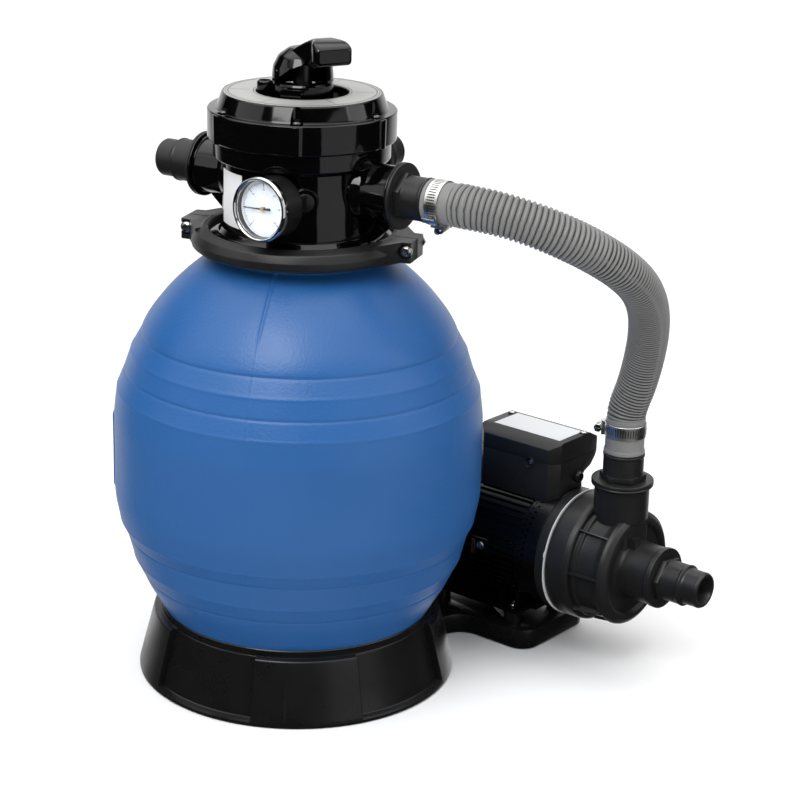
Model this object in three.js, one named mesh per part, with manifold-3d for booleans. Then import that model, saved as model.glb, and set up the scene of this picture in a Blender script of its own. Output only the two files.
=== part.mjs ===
// Sand filter pump set: a sand tank on a base, a six-way valve clamped on its neck, a motor pump on
// the base's platform, and a ribbed hose from the pump's outlet to the valve's inlet.
// Millimetres, +Z up. The shapes are drawn with the tank's axis at X = Y = 0 and the floor at Z = 0.
// X runs along the pump's shaft, towards its suction nozzle. The whole set is moved at the end, so
// that the origin lies on the floor under the middle of its box.

import * as THREE from 'three';
import { mergeVertices } from 'three/addons/utils/BufferGeometryUtils.js';
import Module from 'manifold-3d';

const wasm = await Module();
wasm.setup();

// ---------- driving dimensions ----------

const GAP = 0.3; // between two touching pieces
const TANK_SIDES = 32; // facets round the tank and the base
const VALVE_SIDES = 24;
const PUMP_SIDES = 24;
const PIPE_SIDES = 12;
const PIN_SIDES = 8;

const TANK_R = 171.5;
const NECK_R = 78;
const NECK_TOP = 420;
const FLANGE_R = 85.8; // tank neck flange and valve flange
const VALVE_FLANGE_TOP = 426;

const BASE_R = 150;
const RAISED_PANELS = [[-163, -107.5], [-64.3, -24], [18.6, 60], [116, 156]]; // azimuths on the skirt
const PLATFORM_TOP = 20;
const PLATFORM_RIGHT = 156;
const PLATFORM_LEFT = -15;
const PLATFORM_FRONT = 160;
const PLATFORM_BACK = 265;
const PLATFORM_CORNER = 18;

const CLAMP_SPLIT = 21; // degrees, direction of the clamp's split line
const LUG_X = 106; // bolt line, from the tank's axis
const LUG_END = 111.5;
const LUG_Z = 422;
const LUG_DEPTH = 18;

const VALVE_CLOCK = 8.4; // degrees, direction of the valve's inlet port
const PORT_Z = 473.6;
const PORT_FACE_R = 108.1; // outer face of a port adapter's disc
const COVER_BOTTOM = 512.8;
const COVER_LEDGE = 539.5;
const COVER_TOP = 552.7;
const COVER_SCREW_R = 77;
const SCREWS = 6;
const RECESS_FLOOR = 545;
const LABEL_IN_R = 41.8;
const LABEL_OUT_R = 70.5;

const DECK_TOP = 488; // the valve's port plate
const WINDOW_R = 11;
const WINDOW_AT = 38;
const STEM_R = 8.5;
const HUB_R = 27.5;
const HUB_BOTTOM = 563.6;
const HANDLE_AZIMUTH = -30; // degrees, in the valve's frame
const HANDLE_PIN_Z = 575;

const GAUGE_AT = [23.3, -102.5, 469]; // middle of the gauge's face, in the valve's frame
const GAUGE_AZIMUTH = -93.6;
const GAUGE_TILT = 2.6;
const GAUGE_DEPTH = 29.5;
const NEEDLE_ANGLE = 184; // degrees, from the dial's three o'clock

const BORE_R = 13.3; // through every hose adapter
const ADAPTER_LENGTH = 44.6;
const PORT_BORE_R = 16.4;

const SHAFT_Y = 212.5;
const SHAFT_Z = 98;
const MOTOR_R = 61;
const MOTOR_REAR = 18;
const MOTOR_FRONT = 167.7;
const GASKET_R = 62.8;
const CASING_X = 180.5; // back of the volute
const SUCTION_FACE = 277.6;
const DISCHARGE_X = 223;
const DISCHARGE_TOP = 185.9;
const BOX_LEFT = 70;
const BOX_RIGHT = 166;
const BOX_SEAM = 190.3;
const FOOT_SCREW_X = [38, 128];
const FOOT_SCREW_Y = [176, 249];
const FOOT_TOP = 37;

const HOSE_R = 19.3;
const CUFF_START = 134.8; // from the valve's axis
const CUFF_END = 160;
const PUMP_CUFF_BOTTOM = 213.1;
const PUMP_CUFF_TOP = 245.3;

// The hose's centreline, from the valve's cuff to the pump's cuff.
const HOSE_ROUTE = [
  [159.2, 23.5, 473.6], [163.6, 24.2, 473.6], [172, 25.9, 473.1], [185, 31, 471.8], [203, 39.5, 468.5],
  [223, 53, 461.7], [242, 72, 450.8], [257, 96, 436], [266.7, 124, 417.3], [268, 152.7, 395.4],
  [262, 178, 369.4], [252, 197, 339.5], [241, 208.4, 307.8], [231.5, 212.7, 279], [225.4, 213, 262],
  [223.3, 212.6, 252], [223, 212.5, 246.8],
];
const HOSE_STEPS = 16;

// ---------- materials ----------

const finish = (color, roughness, metalness = 0) =>
  new THREE.MeshStandardMaterial({ color, roughness, metalness });

const BLUE = () => finish(0x2f5fae, 0.5);
const BLACK = () => finish(0x111113, 0.35);
const GLOSS_BLACK = () => finish(0x08080a, 0.12);
const SOFT_BLACK = () => finish(0x1a1a1c, 0.55);
const GREY = () => finish(0x77797b, 0.5);
const WHITE = () => finish(0xe9e9e6, 0.6);
const RUBBER = () => finish(0x151515, 0.85);
const STEEL = () => finish(0xb9bbbe, 0.3, 1);
const CHROME = () => finish(0xd9dadc, 0.08, 1);
const IRON = () => finish(0x55585c, 0.5, 1);

function GLASS() {
  const glass = finish(0xffffff, 0.02);
  glass.transparent = true;
  glass.opacity = 0.3;
  return glass;
}

// ---------- solids ----------

const rad = THREE.MathUtils.degToRad;

// A closed solid from a geometry: shared corners merged, slivers dropped, faces turned outwards.
function solid(shape) {
  if (!shape.isBufferGeometry) return shape;
  const bare = shape.clone();
  bare.deleteAttribute('normal');
  bare.deleteAttribute('uv');
  const merged = mergeVertices(bare, 1e-4);
  const at = merged.attributes.position;
  const index = merged.index.array;
  const faces = [];
  let volume = 0;
  for (let i = 0; i < index.length; i += 3) {
    const [a, b, c] = index.slice(i, i + 3);
    if (a === b || b === c || a === c) continue;
    faces.push([a, b, c]);
    const [p, q, r] = [a, b, c].map((k) => new THREE.Vector3().fromBufferAttribute(at, k));
    volume += p.dot(q.cross(r));
  }
  const triVerts = new Uint32Array(faces.flatMap((f) => (volume < 0 ? [f[0], f[2], f[1]] : f)));
  const vertProperties = new Float32Array(at.array);
  return new wasm.Manifold(new wasm.Mesh({ numProp: 3, vertProperties, triVerts }));
}

const join = (first, ...rest) => rest.reduce((body, piece) => body.add(solid(piece)), solid(first));
const cut = (first, ...rest) => rest.reduce((body, tool) => body.subtract(solid(tool)), solid(first));
const common = (a, b) => solid(a).intersect(solid(b));

function piece(name, shape, material) {
  const { vertProperties, triVerts, numProp } = solid(shape).getMesh();
  const buffer = new THREE.InterleavedBuffer(vertProperties, numProp);
  const geometry = new THREE.BufferGeometry();
  geometry.setAttribute('position', new THREE.InterleavedBufferAttribute(buffer, 3, 0));
  geometry.setIndex(new THREE.BufferAttribute(triVerts, 1));
  geometry.computeVertexNormals();
  const mesh = new THREE.Mesh(geometry, material);
  mesh.name = name;
  return mesh;
}

// An outline of [radius, height] corners turned about Z. One that leaves the axis closes on itself.
function turned(outline, sides) {
  const points = outline.map(([r, z]) => new THREE.Vector2(r, z));
  if (outline[0][0] > 0) points.push(points[0].clone());
  return new THREE.LatheGeometry(points, sides).rotateX(Math.PI / 2);
}

const rod = (radius, z0, z1, sides = PIN_SIDES) =>
  turned([[0, z0], [radius, z0], [radius, z1], [0, z1]], sides);

const ring = (inner, outer, z0, z1, sides = PIPE_SIDES) =>
  turned([[inner, z0], [outer, z0], [outer, z1], [inner, z1]], sides);

function slab([x0, x1], [y0, y1], [z0, z1]) {
  const box = new THREE.BoxGeometry(x1 - x0, y1 - y0, z1 - z0);
  return box.translate((x0 + x1) / 2, (y0 + y1) / 2, (z0 + z1) / 2);
}

const flat = (corners) => new THREE.Shape(corners.map((p) => new THREE.Vector2(...p)));

// A flat outline, as corners or a Shape, raised from z0 to z1.
function prism(outline, z0, z1) {
  const shape = Array.isArray(outline) ? flat(outline) : outline;
  const settings = { depth: z1 - z0, bevelEnabled: false, curveSegments: 4 };
  return new THREE.ExtrudeGeometry(shape, settings).translate(0, 0, z0);
}

// An outline of [y, z] corners run along X.
const beam = (outline, x0, x1) => prism(outline, x0, x1).rotateX(Math.PI / 2).rotateZ(Math.PI / 2);

// A plate of [x, z] corners, its thickness centred on Y = 0.
const plate = (outline, thick) => prism(outline, -thick / 2, thick / 2).rotateX(Math.PI / 2);

const alongX = (geometry) => geometry.rotateY(Math.PI / 2);
const alongY = (geometry) => geometry.rotateX(-Math.PI / 2);

// Points the geometry's own Z outwards from the axis, at an azimuth and a height.
const outwards = (geometry, azimuth, height) =>
  alongX(geometry).rotateZ(rad(azimuth)).translate(0, 0, height);

const around = (count, make) => Array.from({ length: count }, (_, i) => make((360 / count) * i, i));

// A geometry set at a radius from the axis, for each of a number of even turns.
const spaced = (count, radius, make, start = 0) =>
  around(count, (turn) => make().translate(radius, 0, 0).rotateZ(rad(turn + start)));

const onCircle = (radius, turn) => [radius * Math.cos(rad(turn)), radius * Math.sin(rad(turn))];

function along(route, radius, sides, steps) {
  const section = flat(around(sides, (turn) => onCircle(radius, turn)));
  return new THREE.ExtrudeGeometry(section, { steps, extrudePath: route, bevelEnabled: false });
}

function group(...members) {
  const made = new THREE.Group();
  made.add(...members.flat());
  return made;
}

// ---------- tank and base ----------

function tank() {
  const outside = [
    [0, 24], [88, 32], [106, 41], [118.5, 52], [126, 63], [135, 80], [147, 102], [155, 118], [161, 142],
    [167, 155], [TANK_R, 178], [TANK_R, 255], [168, 281], [161.5, 296.5], [155, 316], [146, 331],
    [143, 340], [129, 360], [111, 380], [100, 390], [NECK_R, 405], [NECK_R, 414.5], [FLANGE_R, 414.5],
    [FLANGE_R, NECK_TOP],
  ];
  const inside = [
    [66, NECK_TOP], [66, 402], [124, 359], [157, 296], [167.5, 254], [167.5, 179], [150, 119], [112, 53],
    [84, 37], [0, 29],
  ];
  return piece('tank', turned([...outside, ...inside], TANK_SIDES), BLUE());
}

// A stretch of the skirt, between two azimuths, that stands proud of the recesses.
function raisedPanel([from, to]) {
  const wedge = flat([[0, 0], ...[from, (from + to) / 2, to].map((turn) => onCircle(220, turn))]);
  const outline = [[141, 3], [149.9, 3], [149.6, 6], [136.2, 59.5], [135.2, 60.2], [129.3, 60.2], [128, 54]];
  return common(turned(outline, TANK_SIDES), prism(wedge, 0, 70));
}

function platform() {
  const quarter = Math.PI / 2;
  const inner = 141;
  const [x0, x1] = [PLATFORM_LEFT + PLATFORM_CORNER, PLATFORM_RIGHT - PLATFORM_CORNER];
  const [y0, y1] = [PLATFORM_FRONT + PLATFORM_CORNER, PLATFORM_BACK - PLATFORM_CORNER];
  const leftAngle = Math.acos(PLATFORM_LEFT / inner);
  const rightAngle = rad(62);
  const shape = new THREE.Shape();
  shape.moveTo(inner * Math.cos(rightAngle), inner * Math.sin(rightAngle));
  shape.lineTo(71.4, 135.1);
  shape.quadraticCurveTo(75, 158, 93.4, PLATFORM_FRONT);
  shape.absarc(x1, y0, PLATFORM_CORNER, -quarter, 0);
  shape.absarc(x1, y1, PLATFORM_CORNER, 0, quarter);
  shape.absarc(x0, y1, PLATFORM_CORNER, quarter, 2 * quarter);
  shape.absarc(0, 0, inner, leftAngle, rightAngle, true);
  return prism(shape, 0, PLATFORM_TOP);
}

function base() {
  const skirt = [
    [140, 0], [BASE_R, 0], [BASE_R, 3.5], [149.6, 5], [143.6, 5.2], [129.8, 59.5], [129.5, 66.4], [128.9, 67],
    [126.8, 63], [119.3, 52.4], [119.2, 48], [125.6, 54], [139.5, 6],
  ];
  const panels = RAISED_PANELS.map(raisedPanel);
  const corners = FOOT_SCREW_X.flatMap((x) => FOOT_SCREW_Y.map((y) => [x, y]));
  const posts = corners.map(([x, y]) => rod(9, PLATFORM_TOP - 1, 32.7, 16).translate(x, y, 0));
  const holes = corners.map(([x, y]) => rod(2.8, 8, 40).translate(x, y, 0));
  const body = join(turned(skirt, TANK_SIDES), platform(), ...panels, ...posts);
  return piece('base', cut(body, ...holes), BLACK());
}

// The pipe from the valve down to a hub of eight laterals, solvent-welded into one piece.
function standpipe() {
  const arms = around(8, (turn) => outwards(rod(6, 10, 92, 10), turn, 48));
  const hub = join(rod(28, 38, 78, PIPE_SIDES), ...arms);
  const body = join(cut(hub, rod(18.5, 61.7, 90, PIPE_SIDES)), ring(18.5, 21, 70, 469.5));
  return piece('standpipe', body, SOFT_BLACK());
}

// ---------- neck clamp, X along its split line ----------

function clampHalf(name, side) {
  const section = [
    [79.2, 410.8], [96, 411.5], [99.6, 414.4], [99.4, 421], [96.5, 427], [88, 431], [84, 428.5],
    [84, 426.4], [87, 426.4], [87, 414.2], [79.2, 414.2],
  ];
  const between = (near, far) => [near * side, far * side].sort((a, b) => a - b);
  const half = common(turned(section, VALVE_SIDES), slab([-120, 120], between(0.6, 120), [400, 440]));
  const lugs = [[90, LUG_END], [-LUG_END, -90]].map((x) => slab(x, between(0.6, LUG_DEPTH), [411, 432.5]));
  const bore = (radius, y, x) => alongY(rod(radius, ...y)).translate(x, 0, LUG_Z);
  const boltLine = (radius, y) => [-LUG_X, LUG_X].map((x) => bore(radius, y, x));
  const pocketDepth = side < 0 ? 3 : 0;
  const holes = [...boltLine(3.4, [-60, 60]), ...boltLine(7, between(LUG_DEPTH - pocketDepth, 30))];
  return piece(name, cut(join(half, ...lugs), ...holes), SOFT_BLACK());
}

function clampBolt(name, x) {
  const seat = 3 - LUG_DEPTH - GAP;
  const head = seat - 4.2;
  const outline = [[0, head], [4.5, head], [6, head + 1.7], [6, seat], [3, seat], [3, 24.5], [0, 24.5]];
  const bolt = piece(name, alongY(turned(outline, PIN_SIDES)), STEEL());
  bolt.position.set(x, 0, LUG_Z);
  return bolt;
}

function clampNut(name, x) {
  const nut = piece(name, alongY(ring(3.6, 6.4, LUG_DEPTH + GAP, LUG_DEPTH + 5, 6)), STEEL());
  nut.position.set(x, 0, LUG_Z);
  return nut;
}

function neckClamp() {
  const made = group(
    clampHalf('clamp_front', -1), clampHalf('clamp_rear', 1),
    clampBolt('clamp_bolt_left', -LUG_X), clampBolt('clamp_bolt_right', LUG_X),
    clampNut('clamp_nut_left', -LUG_X), clampNut('clamp_nut_right', LUG_X),
  );
  made.rotation.z = rad(CLAMP_SPLIT);
  return made;
}

// ---------- hose adapter, its flange face at Z = 0 ----------

function adapter(name, disc = false) {
  const outline = [
    [BORE_R, -14], [15.6, -14], [15.6, GAP], [19.4, GAP], [19.4, 25], [17.2, 26.4],
    [17.2, 42.5], [16, ADAPTER_LENGTH], [BORE_R, ADAPTER_LENGTH],
  ];
  const hex = ring(15, 22.5, GAP, 5.8, 6);
  const rim = ring(15, 29.8, -2.2, GAP + 0.1, PIPE_SIDES);
  return piece(name, join(turned(outline, PIPE_SIDES), hex, ...(disc ? [rim] : [])), SOFT_BLACK());
}

// ---------- six-way valve, X along its inlet port ----------

const gaugePlace = new THREE.Matrix4()
  .makeRotationFromEuler(new THREE.Euler(rad(90 - GAUGE_TILT), 0, rad(GAUGE_AZIMUTH + 90), 'ZXY'))
  .setPosition(...GAUGE_AT);

const PORTS = [0, 90, 180];
const PLUG_AZIMUTH = -54;

function valveBody() {
  const outline = [
    [60, 398], [65.5, 398], [65.5, 420.4], [73, 420.4], [73, 423.9], [78, 423.9], [78, 420.4],
    [FLANGE_R, 420.4], [FLANGE_R, VALVE_FLANGE_TOP], [74, 427], [71, 431], [71, 495], [80, 495],
    [80, 512.5], [66, 512.5], [66, DECK_TOP], [12, DECK_TOP], [12, 470], [21.6, 470], [21.6, 425],
    [25, 425], [25, 482], [60, 482],
  ];
  const tubes = PORTS.map((turn) => join(
    outwards(rod(25.5, 62, 103.5, PIPE_SIDES), turn, PORT_Z),
    outwards(rod(29.8, 103.4, PORT_FACE_R - 2.5, PIPE_SIDES), turn, PORT_Z),
    plate([[68, 431], [68, 452], [98, 452], [98, 446], [80, 431]], 5).rotateZ(rad(turn)),
  ));
  const bosses = [
    rod(9.5, -52, -GAUGE_DEPTH - GAP).applyMatrix4(gaugePlace),
    outwards(rod(11.5, 64, 74, 16), PLUG_AZIMUTH, 470),
  ];
  const bores = [
    rod(66, DECK_TOP, 520, VALVE_SIDES),
    ...PORTS.map((turn) => outwards(rod(PORT_BORE_R, 52, 110, PIPE_SIDES), turn, PORT_Z)),
    rod(6.7, -60, -20).applyMatrix4(gaugePlace),
    outwards(rod(6.7, 50, 80), PLUG_AZIMUTH, 470),
    ...spaced(SCREWS, WINDOW_AT, () => rod(WINDOW_R, 475, 495)),
    ...spaced(SCREWS, COVER_SCREW_R, () => rod(2.5, 497, 515, 8)),
  ];
  const body = join(turned(outline, VALVE_SIDES), ...tubes, ...bosses);
  return piece('valve_body', cut(body, ...bores), GLOSS_BLACK());
}

function valveCover() {
  const outline = [
    [68, COVER_BOTTOM], [85, COVER_BOTTOM], [85, COVER_LEDGE], [77, COVER_LEDGE], [71.6, 554], [71, 554],
    [71, COVER_TOP], [LABEL_IN_R, COVER_TOP], [LABEL_IN_R, RECESS_FLOOR], [10.3, RECESS_FLOOR], [10.3, 536],
    [38, 536], [46, 546.5], [64, 546.5], [68, 536],
  ];
  const lobes = spaced(SCREWS, 76.5, () => rod(10, COVER_BOTTOM, COVER_LEDGE, 12));
  const notches = spaced(SCREWS, COVER_SCREW_R, () => rod(5.3, COVER_LEDGE - 0.05, 560));
  const holes = spaced(SCREWS, COVER_SCREW_R, () => rod(2.5, 500, 545, 8));
  const cover = join(turned(outline, VALVE_SIDES), ...lobes);
  return piece('valve_cover', cut(cover, ...notches, ...holes), GLOSS_BLACK());
}

function coverScrews() {
  const seat = COVER_LEDGE + GAP;
  const outline = [[0, 500], [2, 500], [2, seat], [4, seat], [3.6, seat + 2.4], [0, seat + 2.4]];
  return around(SCREWS, (turn, i) => {
    const screw = piece(`cover_screw_${i + 1}`, turned(outline, 8), STEEL());
    screw.position.set(...onCircle(COVER_SCREW_R, turn), 0);
    return screw;
  });
}

function spokedGasket() {
  const thick = [DECK_TOP + GAP, DECK_TOP + 3.2];
  const spokes = around(SCREWS, (turn) => slab([16, 62], [-2.5, 2.5], thick).rotateZ(rad(turn + 30)));
  const rims = [ring(59, 65, ...thick, VALVE_SIDES), ring(13, 19, ...thick)];
  return piece('spoked_gasket', join(...rims, ...spokes), RUBBER());
}

// A coil of round wire about Z.
class Coil extends THREE.Curve {
  constructor(radius, z0, z1, turns) {
    super();
    Object.assign(this, { radius, z0, z1, turns });
  }

  getPoint(t, target = new THREE.Vector3()) {
    const angle = 2 * Math.PI * this.turns * t;
    const height = this.z0 + (this.z1 - this.z0) * t;
    return target.set(this.radius * Math.cos(angle), this.radius * Math.sin(angle), height);
  }
}

function selectorSpring() {
  return piece('selector_spring', along(new Coil(16, 501, 534, 4.5), 1.5, 5, 40), STEEL());
}

const handlePin = (radius) => alongY(rod(radius, -24, 24)).translate(0, 0, HANDLE_PIN_Z);

// The plate-shaped foot, its stem up through the cover, and two of its ports. X along the handle.
function diverter() {
  const outline = [
    [0, 491.6], [64, 491.6], [64, 496], [24, 499], [12.5, 499], [STEM_R, 504], [STEM_R, 583], [0, 583],
  ];
  const ports = [30, 90].map((turn) => rod(WINDOW_R, 485, 505).translate(WINDOW_AT, 0, 0).rotateZ(rad(turn)));
  return piece('diverter', cut(turned(outline, VALVE_SIDES), ...ports, handlePin(3.4)), SOFT_BLACK());
}

// Turns with the handle: a collar with a pointer tab and a small round stub.
function selectorCollar() {
  const [z0, z1] = [RECESS_FLOOR + 0.4, HUB_BOTTOM - 0.4];
  const stub = rod(7.3, z0, z1, 16).translate(33.5, 0, 0).rotateZ(rad(-119));
  const pointer = slab([20, 35], [-9.5, 9.5], [z0 + 1, 559.5]).rotateZ(rad(-44));
  const collar = join(rod(HUB_R, z0, z1, VALVE_SIDES), stub, pointer);
  return piece('selector_collar', cut(collar, rod(9.3, 530, 580, 16)), GLOSS_BLACK());
}

function selectorHandle() {
  const dome = [
    [0, HUB_BOTTOM], [HUB_R, HUB_BOTTOM], [HUB_R, 569], [26, 578], [21.5, 586.5], [12.5, 593], [0, 595],
  ];
  const side = [
    [2, 566], [2, 592], [18, 600], [37, 607.7], [50, 606], [60, 602.5], [62.5, 600], [62.5, 588.5],
    [60, 586], [44, 588], [34, 588], [28, 580], [25, 566],
  ];
  const top = [
    [0, -15], [22, -11], [37, -9.5], [46, -14], [51, -17], [60, -17], [62.6, -14], [62.6, 14], [60, 17],
    [51, 17], [46, 14], [37, 9.5], [22, 11], [0, 15],
  ];
  const arm = common(plate(side, 40), prism(top, 560, 610));
  const slot = slab([-13, 13], [-9, 9], [560, 590]);
  return piece('selector_handle', cut(join(turned(dome, 24), arm), slot, handlePin(3.3)), GLOSS_BLACK());
}

function selector() {
  const pin = piece('handle_pin', handlePin(3), STEEL());
  const made = group(diverter(), selectorCollar(), selectorHandle(), pin);
  made.rotation.z = rad(HANDLE_AZIMUTH);
  return made;
}

// The pressure gauge, its face at Z = 0 and its stem behind.
function gauge() {
  const floor = -10;
  const cup = [
    [0, -GAUGE_DEPTH], [26.8, -GAUGE_DEPTH], [26.8, -1.3], [25.2, -1.3], [25.2, floor], [0, floor],
  ];
  const hoop = [[27.1, -6], [28.7, -6], [28.7, -1], [27.5, 0.3], [24.2, 0.3], [24.2, -1], [27.1, -1]];
  const blade = prism([[-9, -1.1], [-9, 1.1], [2, 1.1], [19, 0.4], [19, -0.4], [2, -1.1]], -6.2, -5.4);
  const needle = piece('gauge_needle', join(blade, rod(3, -6.6, -5), rod(1, floor + 0.4, -5)), BLACK());
  needle.rotation.z = rad(NEEDLE_ANGLE);
  const housing = join(turned(cup, 24), rod(6.3, -48, -GAUGE_DEPTH + 0.1));
  const made = group(
    piece('gauge_case', cut(housing, rod(1.5, floor - 1, 0)), SOFT_BLACK()),
    piece('gauge_bezel', turned(hoop, 24), CHROME()),
    piece('gauge_dial', ring(1.5, 24.6, floor + GAP, floor + 1.1, 24), WHITE()),
    needle,
    piece('gauge_lens', rod(24.7, -2.7, -1.4, 24), GLASS()),
  );
  made.applyMatrix4(gaugePlace);
  return made;
}

function valvePlug() {
  const outline = [[0, 62], [5.8, 62], [5.8, 74.3], [8.2, 74.3], [8.2, 77], [7, 78], [0, 78]];
  const plug = piece('valve_plug', turned(outline, 16), SOFT_BLACK());
  plug.rotation.set(0, Math.PI / 2, rad(PLUG_AZIMUTH), 'ZYX');
  plug.position.z = 470;
  return plug;
}

function portAdapter(name, turn) {
  const made = adapter(name, true);
  made.rotation.set(0, Math.PI / 2, rad(turn), 'ZYX');
  made.position.set(...onCircle(PORT_FACE_R, turn), PORT_Z);
  return made;
}

function oRing() {
  const [middle, height, thick] = [75.5, 422, 1.5];
  const section = around(6, (turn) => onCircle(thick, turn)).map(([r, z]) => [middle + r, height + z]);
  return piece('tank_o_ring', turned(section, VALVE_SIDES), RUBBER());
}

function valve() {
  const adapters = ['inlet_adapter', 'waste_adapter', 'return_adapter'];
  const made = group(
    valveBody(), valveCover(), coverScrews(), spokedGasket(), selectorSpring(), selector(), gauge(),
    piece('label_ring', ring(LABEL_IN_R + 0.2, LABEL_OUT_R, COVER_TOP + GAP, 554, VALVE_SIDES), WHITE()),
    valvePlug(), oRing(), adapters.map((name, i) => portAdapter(name, PORTS[i])),
  );
  made.rotation.z = rad(VALVE_CLOCK);
  return made;
}

// ---------- hose, its cuffs and clamps ----------

const CUFF_IN_R = 17.6;
const CUFF_OUT_R = 18.6;

// A smooth sleeve along Z, flared at its outer end.
function hoseCuff(name, start, end) {
  const outline = [
    [CUFF_IN_R, start], [CUFF_OUT_R + 0.9, start], [CUFF_OUT_R, start + 3.5], [CUFF_OUT_R, end],
    [CUFF_IN_R, end],
  ];
  return piece(name, turned(outline, PIPE_SIDES), GREY());
}

// A band about Z with its worm housing and screw on one side.
function hoseClamp(name, middle, turn) {
  const inner = CUFF_OUT_R + 0.5;
  const band = ring(inner, inner + 0.9, -6.5, 6.5, PIPE_SIDES);
  const housing = slab([inner + 0.5, inner + 7], [-8, 8], [-5.5, 5.5]);
  const screw = alongY(rod(3.4, -16, 12)).translate(inner + 4.2, 0, 0);
  const made = piece(name, join(band, housing, screw), STEEL());
  made.rotation.z = rad(turn);
  made.position.z = middle;
  return made;
}

function hose() {
  const route = new THREE.CatmullRomCurve3(HOSE_ROUTE.map((p) => new THREE.Vector3(...p)));
  return piece('hose', along(route, HOSE_R, 10, HOSE_STEPS), GREY());
}

// ---------- motor pump, X along its shaft ----------

const bothSides = (make) => [-1, 1].map(make);
const footSpots = FOOT_SCREW_Y.flatMap((y) => FOOT_SCREW_X.map((x) => [x, y - SHAFT_Y]));

function motorHousing() {
  const fins = around(44, (turn, i) => onCircle(i % 2 ? MOTOR_R : MOTOR_R - 2.5, turn));
  const shell = alongX(prism(fins, MOTOR_REAR, MOTOR_FRONT));
  const web = slab([22, 146], [-24, 24], [-65, -50]);
  const sole = slab([28, 140], [-46, 46], [-65, -61]);
  const gussets = [52, 114].flatMap((x) => bothSides((side) =>
    beam([[20, -62], [43, -62], [36, -46], [20, -50]].map(([y, z]) => [y * side, z]), x - 2, x + 2)));
  const bore = alongX(rod(54, MOTOR_REAR + 3.7, 200, PUMP_SIDES));
  const bearingSeat = alongX(ring(17.9, 22, MOTOR_REAR + 3.6, 33));
  const screwHoles = footSpots.map(([x, y]) => rod(2.8, -70, -50).translate(x, y, 0));
  const body = cut(join(shell, web, sole, ...gussets), bore);
  const shaftHole = alongX(rod(8, 0, 30));
  return piece('motor_housing', cut(join(body, bearingSeat), shaftHole, ...screwHoles), BLACK());
}

function footScrews() {
  const seat = FOOT_TOP - SHAFT_Z + GAP;
  const head = [[4.8, seat], [4.8, seat + 1.6], [3, seat + 3], [0, seat + 3]];
  const outline = [[0, -84], [2.3, -84], [2.3, seat], ...head];
  return footSpots.map(([x, y], i) => {
    const screw = piece(`foot_screw_${i + 1}`, turned(outline, 10), STEEL());
    screw.position.set(x, y, 0);
    return screw;
  });
}

function motorInside() {
  const wound = [
    [30.4, 62], [34, 62], [34, 48], [49, 48], [49, 62], [53.4, 62], [53.4, 118], [49, 118], [49, 132],
    [34, 132], [34, 118], [30.4, 118],
  ];
  const turning = [[0, -6], [7, -6], [7, 58], [29.5, 58], [29.5, 122], [7, 122], [7, 208], [0, 208]];
  const bearing = (name, x) => piece(name, alongX(ring(7.4, 17.3, x, x + 10)), STEEL());
  return [
    piece('stator', alongX(turned(wound, PUMP_SIDES)), IRON()),
    piece('rotor_shaft', alongX(turned(turning, PIPE_SIDES)), IRON()),
    bearing('bearing_rear', MOTOR_REAR + 4.3), bearing('bearing_front', 156.4),
  ];
}

function fan() {
  const blades = around(7, (turn) => slab([-3, 10], [-1.2, 1.2], [11, 46]).rotateX(rad(turn)));
  const hub = alongX(rod(13, -3, 12, 16));
  return piece('fan', cut(join(hub, ...blades), alongX(rod(7.4, -10, 20, PIPE_SIDES))), SOFT_BLACK());
}

function fanCover() {
  const mouth = MOTOR_REAR - GAP;
  const outline = [
    [0, -12], [55, -12], [60.5, -6], [60.5, mouth], [57.5, mouth], [57.5, -5], [54, -9.5], [0, -9.5],
  ];
  const slots = around(12, (turn) => slab([-20, 0], [-2.5, 2.5], [20, 48]).rotateX(rad(turn)));
  return piece('fan_cover', cut(alongX(turned(outline, PUMP_SIDES)), ...slots), SOFT_BLACK());
}

const BOX_FRONT_Y = -30.5; // front wall of the terminal box, from the shaft's axis
const CABLE_AT = [0, 6, 73]; // cable hole, from the shaft's axis

// The terminal box's outline from above, its corners cut off at the front.
function boxPlan() {
  const chamfer = 9;
  return prism([
    [BOX_LEFT, BOX_FRONT_Y + chamfer], [BOX_LEFT + chamfer, BOX_FRONT_Y],
    [BOX_RIGHT - chamfer, BOX_FRONT_Y], [BOX_RIGHT, BOX_FRONT_Y + chamfer], [BOX_RIGHT, 50],
    [BOX_LEFT, 50],
  ], 0, 150);
}

function terminalBox() {
  const seam = BOX_SEAM - SHAFT_Z;
  const outline = [
    [BOX_FRONT_Y, 40], [18, 40], [14.5, 68], [18.5, 75], [28.5, 79], [35.5, 86.6], [38, seam],
    [BOX_FRONT_Y, seam],
  ];
  const across = [BOX_LEFT + 5, BOX_RIGHT - 5];
  const hollow = [slab(across, [-21, 30], [83, seam + 1]), slab(across, [-21, 9], [68, 84])];
  const motor = alongX(rod(MOTOR_R + 0.6, 0, 200, PUMP_SIDES));
  const cableHole = alongX(rod(4, BOX_RIGHT - 12, BOX_RIGHT + 5)).translate(...CABLE_AT);
  const walls = common(beam(outline, BOX_LEFT, BOX_RIGHT), boxPlan());
  return piece('terminal_box', cut(walls, ...hollow, motor, cableHole), SOFT_BLACK());
}

function boxLid() {
  const under = BOX_SEAM - SHAFT_Z + GAP;
  const roof = [[BOX_FRONT_Y, 106.5], [-19, 113], [25.5, 113], [38, 106.5]];
  const outline = [[BOX_FRONT_Y, under], ...roof, [38, under]];
  const hollow = slab([BOX_LEFT + 5, BOX_RIGHT - 5], [-21, 30], [under - 1, 109]);
  return piece('box_lid', cut(common(beam(outline, BOX_LEFT, BOX_RIGHT), boxPlan()), hollow), SOFT_BLACK());
}

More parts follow.
